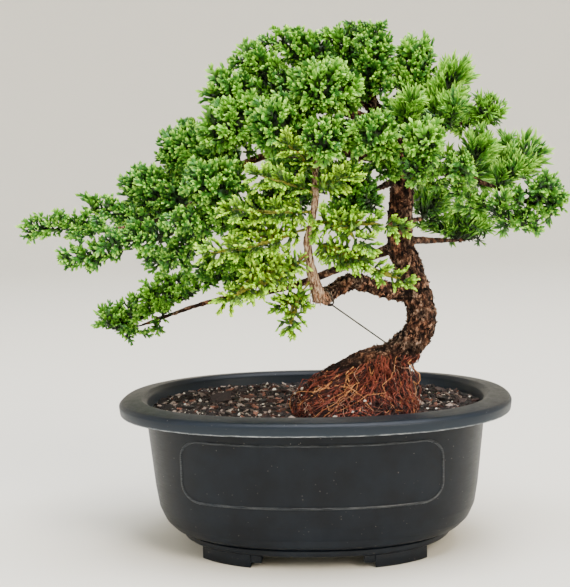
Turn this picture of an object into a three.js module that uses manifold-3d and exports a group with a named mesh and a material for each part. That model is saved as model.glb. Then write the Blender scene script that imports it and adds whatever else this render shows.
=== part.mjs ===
// Procumbens nana juniper bonsai in an oval plastic training pot. Millimetres, +Z up.
// The tree and pot are laid out round the pot's centre. The whole group is then shifted, so that
// the origin is the middle of the object's footprint box, on the surface that the feet stand on.
import * as THREE from 'three';
import { mergeVertices } from 'three/addons/utils/BufferGeometryUtils.js';
import Module from 'manifold-3d';

const wasm = await Module();
wasm.setup();

// Driving dimensions of the pot
const RIM_LENGTH = 260;
const RIM_WIDTH = 210;
const POT_HEIGHT = 100;
const FOOT_HEIGHT = 8;
const WALL = 2.5;
const OVAL_POWER = 2.3;
const OVAL_SEGMENTS = 36;
const BASE_HALF = [87, 73.5];
const BELLY_HALF_LENGTH = 107.5;
const BELLY_TOP = 42;
const NECK_HALF_LENGTH = 112.5;
const NECK_HEIGHT = 90;
const PANEL_HALF_LENGTH = 82;
const PANEL_BOTTOM = 41.5;
const PANEL_TOP = 81.5;
const PANEL_CORNER = 12;
const PANEL_BEAD_WIDTH = 1.6;
const PANEL_BEAD_PROUD = 0.7;
const FOOT_SPAN = [39, 72];
const FOOT_TOE_SPAN = [32, 39];
const FOOT_TOE_BOTTOM = 3.5;
const FOOT_DEPTH = 13;
const DRAIN_RADIUS = 9;
const DRAIN_CENTRES = [-36, 36];

// Driving dimensions of the planting
const SOIL_LEVEL = 91.5;
const SOIL_RISE = 4;
const SOIL_RELIEF = 1.1;
const CLEARANCE = 0.35;
const WIRE_RADIUS = 0.7;
const SLIVER = 0.15;

// The origin's place from the pot's centre, seen from above
const ORIGIN_FROM_POT = [-12.7, 0];

// Foliage: stalks, cores as a share of a tuft's reach, and the facets that shoots stand on
const STALK_RADIUS = 1.1;
const SLIM_CORE = 0.3;
const SHOOT_LENGTH = 11;
const FACET = 10;
const FACET_STEP = 11.6;
const SPRAY_GAP = 0.9;

// Colours and finishes
const FINISH = {
  pot: { color: 0x2b2e33, roughness: 0.5, metalness: 0 },
  soil: { color: 0x3a2b22, roughness: 1, metalness: 0 },
  wood: { color: 0x4a3428, roughness: 0.95, metalness: 0 },
  wire: { color: 0x34322f, roughness: 0.5, metalness: 0.6 },
  needles: { color: 0x4f9a3c, roughness: 0.7, metalness: 0 },
  freshNeedles: { color: 0x86b83c, roughness: 0.7, metalness: 0 },
};

// Limbs of the tree: points of each centre line with the radius there, [x, y, z, radius]
const LIMBS = {
  trunk: [[30, -14, 92, 12], [38, -12, 106, 11.2], [47, -12, 119, 10.5], [56, -10, 127, 10.2],
    [66, -8, 135, 10.8], [72, -6, 147, 10.5], [71, -4, 158, 10.2], [67, -2, 169, 10.4],
    [64, 0, 181, 9.6], [60, 2, 190, 9.4], [58, 3, 204, 8.7], [59, 3, 217, 8.6], [60, 2, 232, 8.5],
    [60, 0, 246, 7.9], [56, 0, 259, 7.2], [49, 2, 274, 6.2], [41, 4, 289, 5.2], [34, 4, 304, 3.9],
    [29, 2, 316, 2.4]],
  lowerBranch: [[66, -2, 166, 7], [51, -12, 168, 6.2], [38, -22, 173, 5.8], [27, -32, 177, 5.7],
    [17, -40, 173, 5.4], [8, -46, 167, 5.2]],
  frontStem: [[7, -47, 165, 5.3], [5, -50, 174, 4.6], [2, -53, 185, 3.5], [1, -56, 196, 3],
    [0, -58, 206, 2.8], [4, -58, 219, 2.6], [6, -57, 227, 2.5], [5, -55, 238, 2.4],
    [6, -52, 248, 2.2], [8, -48, 259, 2], [11, -42, 269, 1.7]],
  backLowLeft: [[57, 5, 196, 5.3], [40, 22, 189, 4.1], [21, 38, 181, 3.8], [-11, 52, 168, 3.5],
    [-44, 60, 160, 3.2], [-73, 64, 156, 2.8], [-102, 66, 147, 2.3], [-128, 66, 138, 1.9],
    [-148, 66, 134, 1.4]],
  leftMain: [[59, 0, 250, 5.2], [41, -5, 255, 4.6], [20, -8, 260, 4.2], [-3, -8, 257, 3.9],
    [-22, -10, 260, 3.6], [-42, -12, 253, 3.3], [-62, -14, 236, 2.9], [-88, -16, 221, 2.6],
    [-114, -18, 214, 2], [-134, -20, 212, 1.6]],
  leftLow: [[-40, -12, 254, 2.6], [-46, -20, 245, 2.6], [-56, -28, 233, 2.2], [-73, -34, 217, 1.9],
    [-92, -36, 207, 1.6], [-112, -36, 200, 1.4]],
  upperLeft: [[49, 2, 274, 4.6], [24, -6, 285, 3.9], [-2, -10, 294, 3.2], [-24, -12, 297, 2.2]],
  apex: [[36, 4, 299, 3.2], [24, 2, 311, 2.4], [14, 0, 316, 1.8]],
  rightMain: [[60, 0, 245, 4.6], [75, -10, 253, 3.9], [87, -18, 246, 3.2], [100, -24, 232, 2.5],
    [113, -28, 221, 1.9]],
  rightUp: [[84, -16, 247, 2.6], [103, -24, 241, 2.5], [121, -28, 233, 2.2], [134, -30, 226, 1.6]],
  rightHigh: [[56, 0, 259, 3.9], [72, -8, 269, 3.2], [88, -14, 276, 2.6], [104, -18, 275, 1.9]],
  rightBack: [[60, 4, 200, 4], [76, 30, 198, 3.4], [94, 55, 196, 2.4], [110, 62, 196, 1.6]],
  rightBackRise: [[62, 4, 213, 2.6], [74, 26, 213, 2]],
  innerLeft: [[58, -2, 241, 3.9], [48, -14, 240, 3.2], [40, -22, 233, 2.2]],
  backHigh: [[60, 2, 236, 4.4], [62, 20, 250, 3.4], [62, 36, 260, 2.2]],
  backRight: [[61, 12, 244, 2.8], [72, 28, 242, 2.4], [80, 42, 241, 1.8]],
  backLeft: [[56, 1, 256, 4.4], [40, 20, 258, 3.4], [22, 32, 250, 2.6], [2, 40, 238, 1.8]],
};
const LIMB_SIDES = { trunk: 10, lowerBranch: 8, frontStem: 6 };
const LIMB_STEP = { trunk: 12, lowerBranch: 9, frontStem: 14 };
const BARK_RELIEF = { trunk: 0.1, lowerBranch: 0.09 };
const BRANCH_SIDES = 5;
const BRANCH_STEP = 22;
const BRANCH_RELIEF = 0.06;

// Root ball: outlines from its buried foot to its crown, [z, centre x, centre y, half x, half y]
const ROOT_BALL = [[66, 24, -24, 32, 32], [85, 26, -29, 41, 43], [95, 26, -30, 42, 45],
  [103, 28.5, -25, 37.5, 33], [111, 32, -20, 32, 26], [119, 36, -15, 25, 19],
  [126, 42, -10, 14, 13], [131, 45, -8, 9, 8]];
const ROOT_BALL_SIDES = 18;
const ROOT_COUNT = 12;
const ROOT_SIDES = 4;
const ROOT_ROWS = 4;
const ROOT_RADIUS = 1.9;

// Foliage: name, the limb it grows on, a point the twig leaves towards, its tip, its reach round
// that line, then the tip and reach of each extra side twig
const SPRAYS = [
  ['left_tip', 'leftMain', [-146, -20, 216], [-182, -22, 214], 12],
  ['left_shoulder', 'leftMain', [-116, -10, 221], [-142, -14, 226], 14],
  ['left_front', 'leftLow', [-94, -40, 208], [-124, -50, 205], 15],
  ['left_under_tip', 'leftLow', [-124, -38, 198], [-155, -44, 195], 12],
  ['left_middle', 'leftMain', [-88, -6, 229], [-114, 0, 239], 22],
  ['left_finger', 'leftLow', [-63, -46, 214], [-82, -60, 219], 14],
  ['left_underside', 'leftLow', [-72, -20, 201], [-98, -20, 190], 14],
  ['left_upper', 'leftMain', [-58, -2, 256], [-88, 2, 262], 25],
  ['left_front_upper', 'leftLow', [-42, -38, 238], [-66, -52, 241], 21],
  ['left_back_upper', 'leftMain', [-66, 26, 250], [-92, 46, 244], 24],
  ['left_back_lower', 'leftMain', [-102, 16, 217], [-130, 30, 213], 18],
  ['upper_left_tip', 'upperLeft', [-38, -12, 295], [-58, -14, 301], 19],
  ['upper_left_low', 'upperLeft', [-34, -26, 278], [-58, -36, 273], 21],
  ['upper_left_top', 'upperLeft', [-15, -8, 305], [-38, -8, 320], 18],
  ['upper_left_front', 'upperLeft', [-4, -40, 279], [-22, -56, 274], 22],
  ['upper_left_back', 'upperLeft', [-21, 22, 296], [-44, 48, 302], 23],
  ['apex_left', 'apex', [8, 0, 318], [-11, -4, 328], 19],
  ['apex_top', 'trunk', [25, 2, 317], [24, 2, 330], 19],
  ['apex_front', 'trunk', [18, -28, 293], [8, -56, 298], 22],
  ['apex_right', 'trunk', [41, -6, 304], [43, -8, 327], 19],
  ['apex_back', 'trunk', [27, 28, 304], [20, 56, 308], 24],
  ['apex_front_low', 'trunk', [22, -44, 272], [8, -68, 264], 19],
  ['crest_inner', 'rightHigh', [66, -2, 294], [69, 0, 322], 19],
  ['crest_outer', 'rightHigh', [82, -8, 290], [95, -8, 307], 17],
  ['burst_inner', 'rightHigh', [62, -22, 278], [66, -36, 290], 13],
  ['burst_middle', 'rightHigh', [88, -24, 276], [93, -38, 284], 14],
  ['burst_outer', 'rightHigh', [108, -20, 276], [120, -20, 281], 12, [112, -26, 285], 11],
  ['crest_back', 'rightHigh', [84, 22, 283], [92, 46, 290], 23],
  ['front_right_inner', 'trunk', [48, -36, 262], [38, -62, 270], 19],
  ['front_right_outer', 'rightMain', [72, -36, 257], [74, -58, 264], 18, [68, -52, 243], 13],
  ['front_right_end', 'rightMain', [90, -36, 247], [97, -54, 248], 15],
  ['right_middle', 'rightUp', [103, -30, 249], [110, -34, 262], 16],
  ['right_outer_up', 'rightUp', [124, -28, 241], [137, -28, 254], 18],
  ['right_tip', 'rightUp', [142, -31, 224], [156, -32, 223], 13, [149, -44, 236], 13],
  ['right_under', 'rightMain', [122, -30, 217], [140, -33, 212], 10, [120, -44, 226], 10],
  ['right_back_mid', 'rightUp', [108, 12, 241], [126, 40, 246], 20],
  ['centre_left', 'leftMain', [-16, -14, 236], [-52, -16, 212], 17],
  ['centre_dark', 'innerLeft', [34, -28, 236], [20, -38, 244], 19, [20, -42, 218], 14, [41, -42, 222], 13],
  ['trunk_front', 'trunk', [54, -18, 248], [49, -36, 246], 13],
  ['stem_top_left', 'frontStem', [2, -60, 253], [-10, -68, 264], 12],
  ['stem_left_high', 'frontStem', [-3, -62, 238], [-28, -78, 246], 12],
  ['stem_left_middle', 'frontStem', [-5, -63, 221], [-44, -82, 225], 11],
  ['stem_left_long', 'frontStem', [-6, -64, 205], [-58, -86, 200], 11, [-36, -70, 212], 9],
  ['stem_left_low', 'frontStem', [-5, -61, 188], [-49, -82, 171], 10, [-34, -72, 184], 10],
  ['stem_down', 'frontStem', [-6, -58, 170], [-11, -62, 151], 9, [-18, -60, 164], 8],
  ['stem_right_high', 'frontStem', [10, -59, 239], [28, -66, 244], 12],
  ['stem_right_middle', 'frontStem', [10, -60, 219], [58, -56, 212], 10, [38, -68, 202], 10],
  ['stem_right_low', 'frontStem', [8, -60, 199], [60, -52, 178], 10, [34, -66, 193], 10],
  ['low_left_tip', 'backLowLeft', [-146, 66, 140], [-154, 66, 145], 15, [-136, 66, 152], 15],
  ['low_left_inner', 'backLowLeft', [-112, 66, 150], [-120, 66, 162], 16, [-98, 62, 170], 15],
  ['low_left_middle', 'backLowLeft', [-50, 56, 166], [-76, 40, 182], 15],
  ['low_centre', 'backLowLeft', [-28, 44, 178], [-54, 30, 190], 17],
  ['right_back_low', 'rightBack', [100, 60, 201], [108, 66, 208], 20, [86, 50, 207], 14],
  ['right_back_rise', 'rightBackRise', [76, 32, 217], [83, 46, 226], 18],
  ['back_high', 'backHigh', [60, 46, 268], [62, 66, 280], 24],
  ['back_left', 'backLeft', [0, 46, 244], [-18, 70, 248], 24, [-30, 56, 222], 19],
];
const FRESH = /^stem_/;

// Seeded random numbers from 0 to 1
function seeded(seed) {
  let state = seed >>> 0;
  return () => {
    state = (state + 0x6d2b79f5) >>> 0;
    let mixed = Math.imul(state ^ (state >>> 15), 1 | state);
    mixed = (mixed + Math.imul(mixed ^ (mixed >>> 7), 61 | mixed)) ^ mixed;
    return ((mixed ^ (mixed >>> 14)) >>> 0) / 4294967296;
  };
}

// A repeatable value from -1 to 1 for a row and side of a surface
function grain(row, side, seed) {
  return 2 * seeded(row * 7919 + side * 104729 + seed * 1299709)() - 1;
}

// A closed solid from a geometry: shared vertices merged, empty faces dropped, faces outwards
function solidOf(geometry) {
  const plain = new THREE.BufferGeometry();
  plain.setAttribute('position', geometry.getAttribute('position'));
  plain.setIndex(geometry.getIndex());
  const merged = mergeVertices(plain, 1e-4);
  const index = merged.getIndex().array;
  const faces = [];
  for (let i = 0; i < index.length; i += 3) {
    const [a, b, c] = index.slice(i, i + 3);
    if (a !== b && b !== c && c !== a) faces.push(a, b, c);
  }
  const vertProperties = new Float32Array(merged.getAttribute('position').array);
  const made = (triVerts) => new wasm.Manifold(new wasm.Mesh({
    numProp: 3, vertProperties, triVerts: new Uint32Array(triVerts),
  }));
  const solid = made(faces);
  if (solid.volume() > 0) return solid;
  for (let i = 0; i < faces.length; i += 3) [faces[i], faces[i + 1]] = [faces[i + 1], faces[i]];
  return made(faces);
}

// The solid's surface as a geometry again
function geometryOf(solid) {
  const mesh = solid.getMesh();
  const geometry = new THREE.BufferGeometry();
  geometry.setAttribute('position', new THREE.BufferAttribute(mesh.vertProperties, 3));
  geometry.setIndex(new THREE.BufferAttribute(mesh.triVerts, 1));
  return geometry;
}

const joined = (solids) => solids.reduce((whole, solid) => whole.add(solid));

// The largest body of a solid that a cut may have left in several
function largestBody(solid) {
  const bodies = solid.decompose();
  return bodies.reduce((best, body) => (body.volume() > best.volume() ? body : best));
}

// A cylinder's net of rows and sides, with each vertex put where place(row, side) says, and the
// middle of each end where middle(row) says
function net(rows, sides, place, middle) {
  const geometry = new THREE.CylinderGeometry(1, 1, 1, sides, rows);
  const position = geometry.getAttribute('position');
  for (let i = 0; i < position.count; i += 1) {
    const [x, y, z] = [position.getX(i), position.getY(i), position.getZ(i)];
    const row = Math.round((0.5 - y) * rows);
    const side = (Math.round((Math.atan2(x, z) / (2 * Math.PI)) * sides) + sides) % sides;
    const point = Math.hypot(x, z) > 0.5 ? place(row, side) : middle(row);
    position.setXYZ(i, point.x, point.y, point.z);
  }
  return geometry;
}

// A point of the pot's oval outline at a height, from its half length and half width
function ovalPoint([halfLength, halfWidth], angle, z) {
  const power = 2 / OVAL_POWER;
  const along = Math.sign(Math.cos(angle)) * Math.abs(Math.cos(angle)) ** power;
  const across = Math.sign(Math.sin(angle)) * Math.abs(Math.sin(angle)) ** power;
  return new THREE.Vector3(halfLength * along, halfWidth * across, z);
}

// The outline's half width at a place along its length
function ovalWidthAt([halfLength, halfWidth], x) {
  const share = 1 - Math.abs(x / halfLength) ** OVAL_POWER;
  return halfWidth * Math.max(0, share) ** (1 / OVAL_POWER);
}

// The wall's half length and half width: on the wall the oval is as much narrower as the rim is
const NARROWER = (RIM_LENGTH - RIM_WIDTH) / 2;
const wallHalf = (halfLength) => [halfLength, halfLength - NARROWER];

// A net of rings carried round the pot's oval, from [half length, half width, height] rows
function ovalSolid(profile) {
  const points = profile.map((_, row) => new THREE.Vector2(profile[row][0], row));
  const geometry = new THREE.LatheGeometry(points, OVAL_SEGMENTS);
  const position = geometry.getAttribute('position');
  for (let i = 0; i < position.count; i += 1) {
    const [halfLength, halfWidth, z] = profile[Math.round(position.getY(i))];
    const angle = Math.atan2(position.getZ(i), position.getX(i));
    const point = ovalPoint([halfLength, halfWidth], angle, z);
    position.setXYZ(i, point.x, point.y, point.z);
  }
  return solidOf(geometry);
}

// Pot: one moulding with its panel outlines, feet and drainage holes
const FLOOR_TOP = FOOT_HEIGHT + WALL;
const POT_OUTSIDE = [[0, 0, FOOT_HEIGHT], [...BASE_HALF, FOOT_HEIGHT], [89.5, 75.5, 10],
  [89.5, 75.5, 12.3], [88.8, 74.8, 13.2], [95.5, 78, 15.2], [101.5, 79.5, 20.5],
  [105.3, 80.8, 28.5], [...wallHalf(BELLY_HALF_LENGTH), BELLY_TOP],
  [...wallHalf(NECK_HALF_LENGTH), NECK_HEIGHT], [116, 91, 94.5], [127, 102, 94.5],
  [126.8, 101.8, 90.3], [129.2, 104.2, 90.3], [RIM_LENGTH / 2, RIM_WIDTH / 2, 97.4]];
const POT_INSIDE = [[115, 90, POT_HEIGHT], [111.6, 86.6, 97.5],
  [...wallHalf(NECK_HALF_LENGTH - WALL), NECK_HEIGHT],
  [...wallHalf(BELLY_HALF_LENGTH - WALL), BELLY_TOP], [99, 77, 22], [84, 70, FLOOR_TOP],
  [0, 0, FLOOR_TOP]];

// A raised bead round one long side's panel. side is -1 for the near side and 1 for the far one.
function panelBead(side) {
  const half = PANEL_HALF_LENGTH;
  const outline = new THREE.Shape();
  outline.moveTo(-half + PANEL_CORNER, PANEL_BOTTOM);
  outline.lineTo(half - PANEL_CORNER, PANEL_BOTTOM);
  outline.absarc(half - PANEL_CORNER, PANEL_BOTTOM + PANEL_CORNER, PANEL_CORNER, -Math.PI / 2, 0);
  outline.lineTo(half, PANEL_TOP - PANEL_CORNER);
  outline.absarc(half - PANEL_CORNER, PANEL_TOP - PANEL_CORNER, PANEL_CORNER, 0, Math.PI / 2);
  outline.lineTo(-half + PANEL_CORNER, PANEL_TOP);
  outline.absarc(-half + PANEL_CORNER, PANEL_TOP - PANEL_CORNER, PANEL_CORNER, Math.PI / 2, Math.PI);
  outline.lineTo(-half, PANEL_BOTTOM + PANEL_CORNER);
  outline.absarc(-half + PANEL_CORNER, PANEL_BOTTOM + PANEL_CORNER, PANEL_CORNER, Math.PI, 1.5 * Math.PI);
  const steps = 30;
  const path = outline.getSpacedPoints(steps).slice(0, steps);
  const geometry = new THREE.TorusGeometry(1, 0.3, 3, steps);
  const uv = geometry.getAttribute('uv');
  const position = geometry.getAttribute('position');
  for (let i = 0; i < position.count; i += 1) {
    const at = path[Math.round(uv.getX(i) * steps) % steps];
    const corner = (uv.getY(i) * 3) % 3;
    const next = path[(Math.round(uv.getX(i) * steps) + 1) % steps];
    const before = path[(Math.round(uv.getX(i) * steps) + steps - 1) % steps];
    const inward = next.clone().sub(before).rotateAround(new THREE.Vector2(), Math.PI / 2).normalize();
    const shift = [0, 0.5, -0.5][Math.round(corner)] * PANEL_BEAD_WIDTH;
    const proud = [PANEL_BEAD_PROUD, -0.7, -0.7][Math.round(corner)];
    const x = at.x + inward.x * shift;
    const z = at.y + inward.y * shift;
    const slope = (NECK_HALF_LENGTH - BELLY_HALF_LENGTH) / (NECK_HEIGHT - BELLY_TOP);
    const wall = ovalWidthAt(wallHalf(BELLY_HALF_LENGTH + (z - BELLY_TOP) * slope), x);
    position.setXYZ(i, x, side * (wall + proud), z);
  }
  return solidOf(geometry);
}

// A bar under the base that follows its outline, from x0 to x1 along one quarter of the pot
function footBar([x0, x1], bottom, signX, signY) {
  const steps = 4;
  const outer = [];
  const inner = [];
  for (let i = 0; i <= steps; i += 1) {
    const x = x0 + ((x1 - x0) * i) / steps;
    const outside = ovalWidthAt(BASE_HALF, x);
    outer.push(new THREE.Vector2(signX * x, signY * outside));
    inner.push(new THREE.Vector2(signX * x, signY * (outside - FOOT_DEPTH)));
  }
  const shape = new THREE.Shape([...outer, ...inner.reverse()]);
  const depth = FOOT_HEIGHT + 1 - bottom;
  const geometry = new THREE.ExtrudeGeometry(shape, { depth, bevelEnabled: false });
  return solidOf(geometry.translate(0, 0, bottom));
}

function potSolid() {
  let pot = ovalSolid([...POT_OUTSIDE, ...POT_INSIDE]);
  for (const side of [-1, 1]) {
    pot = pot.add(panelBead(side));
    for (const end of [-1, 1]) {
      pot = pot.add(footBar(FOOT_SPAN, 0, end, side));
      pot = pot.add(footBar(FOOT_TOE_SPAN, FOOT_TOE_BOTTOM, end, side));
    }
  }
  for (const x of DRAIN_CENTRES) {
    const drill = new THREE.CylinderGeometry(DRAIN_RADIUS, DRAIN_RADIUS, 3 * FOOT_HEIGHT, 12);
    pot = pot.subtract(solidOf(drill.rotateX(Math.PI / 2).translate(x, 0, FOOT_HEIGHT)));
  }
  return pot.simplify(SLIVER);
}

// A limb of the tree along a smooth curve
class Limb {
  constructor(name) {
    this.name = name;
    this.radii = LIMBS[name].map((point) => point[3]);
    const places = LIMBS[name].map(([x, y, z]) => new THREE.Vector3(x, y, z));
    this.curve = new THREE.CatmullRomCurve3(places, false, 'centripetal');
    this.seed = Object.keys(LIMBS).indexOf(name) + 1;
  }

  radiusAt(share) {
    const place = this.curve.getUtoTmapping(share) * (this.radii.length - 1);
    const before = Math.min(Math.floor(place), this.radii.length - 2);
    return THREE.MathUtils.lerp(this.radii[before], this.radii[before + 1], place - before);
  }

  // The limb's solid, thicker all over by grow
  solid(grow) {
    const sides = LIMB_SIDES[this.name] ?? BRANCH_SIDES;
    const rows = Math.round(this.curve.getLength() / (LIMB_STEP[this.name] ?? BRANCH_STEP));
    const relief = BARK_RELIEF[this.name] ?? BRANCH_RELIEF;
    const frames = this.curve.computeFrenetFrames(rows);
    const place = (row, side) => {
      const angle = ((side + row / 2) / sides) * 2 * Math.PI;
      const rough = 1 + relief * grain(row, side, this.seed);
      const radius = this.radiusAt(row / rows) * rough + grow;
      return this.curve.getPointAt(row / rows)
        .addScaledVector(frames.normals[row], radius * Math.cos(angle))
        .addScaledVector(frames.binormals[row], radius * Math.sin(angle))
        .addScaledVector(frames.tangents[row], row === rows ? grow : 0);
    };
    const middle = (row) => this.curve.getPointAt(row / rows)
      .addScaledVector(frames.tangents[row], row === rows ? this.radiusAt(1) * 0.6 + grow : 0);
    return solidOf(net(rows, sides, place, middle));
  }

  // The share of the limb's length whose centre is nearest to a point
  nearest(point) {
    const steps = 60;
    let best = 0;
    for (let i = 1; i <= steps; i += 1) {
      const closer = this.curve.getPointAt(i / steps).distanceTo(point)
        < this.curve.getPointAt(best / steps).distanceTo(point);
      if (closer) best = i;
    }
    return best / steps;
  }
}

// A point on the root ball's skin: level 0 is its foot and 1 its crown
function rootBallPoint(level, angle, out) {
  const place = level * (ROOT_BALL.length - 1);
  const before = Math.min(Math.floor(place), ROOT_BALL.length - 2);
  const [z, x, y, halfX, halfY] = ROOT_BALL[before].map((value, i) => THREE.MathUtils.lerp(
    value, ROOT_BALL[before + 1][i], place - before));
  return new THREE.Vector3(x + (halfX + out) * Math.cos(angle), y + (halfY + out) * Math.sin(angle), z);
}

function rootBallSolid(grow) {
  const rows = ROOT_BALL.length - 1;
  const furrow = 1.8;
  const place = (row, side) => {
    const angle = ((side + row / 2) / ROOT_BALL_SIDES) * 2 * Math.PI;
    const rise = row === 0 ? -grow : grow * 0.5;
    return rootBallPoint(row / rows, angle, grow + furrow * grain(row, side, 50))
      .add(new THREE.Vector3(0, 0, rise));
  };
  const middle = (row) => {
    const [z, x, y] = ROOT_BALL[row];
    return new THREE.Vector3(x, y, row === 0 ? z - grow : z + 1 + grow);
  };
  return solidOf(net(rows, ROOT_BALL_SIDES, place, middle));
}

// Surface roots: from the crown down over the root ball and into the soil at its foot
function surfaceRoots(grow) {
  const random = seeded(12);
  const roots = [];
  for (let i = 0; i < ROOT_COUNT; i += 1) {
    const start = ((i + 0.6 * random()) / ROOT_COUNT) * 2 * Math.PI;
    const sway = 0.35 * (random() - 0.5);
    const points = [];
    for (let step = 0; step <= 5; step += 1) {
      const level = 0.92 - 0.72 * (step / 5);
      const angle = start + sway * step + 0.12 * (random() - 0.5);
      points.push(rootBallPoint(level, angle, step === 5 ? 3 : 0.9));
    }
    const curve = new THREE.CatmullRomCurve3(points, false, 'centripetal');
    const frames = curve.computeFrenetFrames(ROOT_ROWS);
    const place = (row, side) => {
      const angle = ((side + row / 2) / ROOT_SIDES) * 2 * Math.PI;
      const radius = ROOT_RADIUS * (1 - 0.45 * (row / ROOT_ROWS)) + grow;
      return curve.getPointAt(row / ROOT_ROWS)
        .addScaledVector(frames.normals[row], radius * Math.cos(angle))
        .addScaledVector(frames.binormals[row], radius * Math.sin(angle))
        .addScaledVector(frames.tangents[row], row === ROOT_ROWS ? grow : 0);
    };
    const middle = (row) => curve.getPointAt(row / ROOT_ROWS)
      .addScaledVector(frames.tangents[row], row === ROOT_ROWS ? 1 + grow : 0);
    roots.push(solidOf(net(ROOT_ROWS, ROOT_SIDES, place, middle)));
  }
  return roots;
}

const limbs = Object.fromEntries(Object.keys(LIMBS).map((name) => [name, new Limb(name)]));

function treeSolid(grow) {
  const parts = Object.values(limbs).map((limb) => limb.solid(grow));
  return joined([...parts, rootBallSolid(grow), ...surfaceRoots(grow)]).simplify(SLIVER);
}

// Soil: fills the pot's inside to a rough, slightly mounded top, round the root ball
function soilSolid(treeGrown) {
  const inside = [...POT_INSIDE].reverse().slice(1, 5);
  const wall = inside.map(([length, width, z]) => [length - CLEARANCE, width - CLEARANCE, z + CLEARANCE]);
  const [edgeLength, edgeWidth] = wall[wall.length - 1];
  const top = [1, 0.86, 0.46].map((share) => [edgeLength * share, edgeWidth * share, SOIL_LEVEL]);
  const rows = [...wall.slice(0, -1), ...top];
  const edge = wall.length - 1;
  const place = (row, side) => {
    const [halfLength, halfWidth, z] = rows[row];
    const point = ovalPoint([halfLength, halfWidth], (side / OVAL_SEGMENTS) * 2 * Math.PI, z);
    if (row > edge) {
      point.z += SOIL_RISE * (1 - halfLength / edgeLength) + SOIL_RELIEF * grain(row, side, 90);
    }
    return point;
  };
  const middle = (row) => new THREE.Vector3(0, 0, row === 0 ? rows[0][2] : SOIL_LEVEL + SOIL_RISE);
  const whole = solidOf(net(rows.length - 1, OVAL_SEGMENTS, place, middle));
  return largestBody(whole.subtract(treeGrown));
}

// Guy wire: a loop round the lower branch near its end, and a straight run to the trunk's foot
function guyWireSolid(treeGrown) {
  const share = 0.95;
  const branch = limbs.lowerBranch;
  const centre = branch.curve.getPointAt(share);
  const along = branch.curve.getTangentAt(share);
  const loopRadius = branch.radiusAt(share) * (1 + BARK_RELIEF.lowerBranch) + CLEARANCE + WIRE_RADIUS;
  const loop = new THREE.TorusGeometry(loopRadius, WIRE_RADIUS, 5, 14);
  loop.applyQuaternion(new THREE.Quaternion().setFromUnitVectors(new THREE.Vector3(0, 0, 1), along));
  loop.translate(centre.x, centre.y, centre.z);
  const down = new THREE.Vector3(0, 0, -1).addScaledVector(along, along.z).normalize();
  const start = centre.clone().addScaledVector(down, loopRadius);
  const end = new THREE.Vector3(56, 11, 125);
  const run = new THREE.CylinderGeometry(WIRE_RADIUS, WIRE_RADIUS, start.distanceTo(end), 5);
  const direction = end.clone().sub(start).normalize();
  run.applyQuaternion(new THREE.Quaternion().setFromUnitVectors(new THREE.Vector3(0, 1, 0), direction));
  run.translate(...start.clone().add(end).multiplyScalar(0.5));
  return largestBody(solidOf(loop).add(solidOf(run)).subtract(treeGrown));
}

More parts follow.
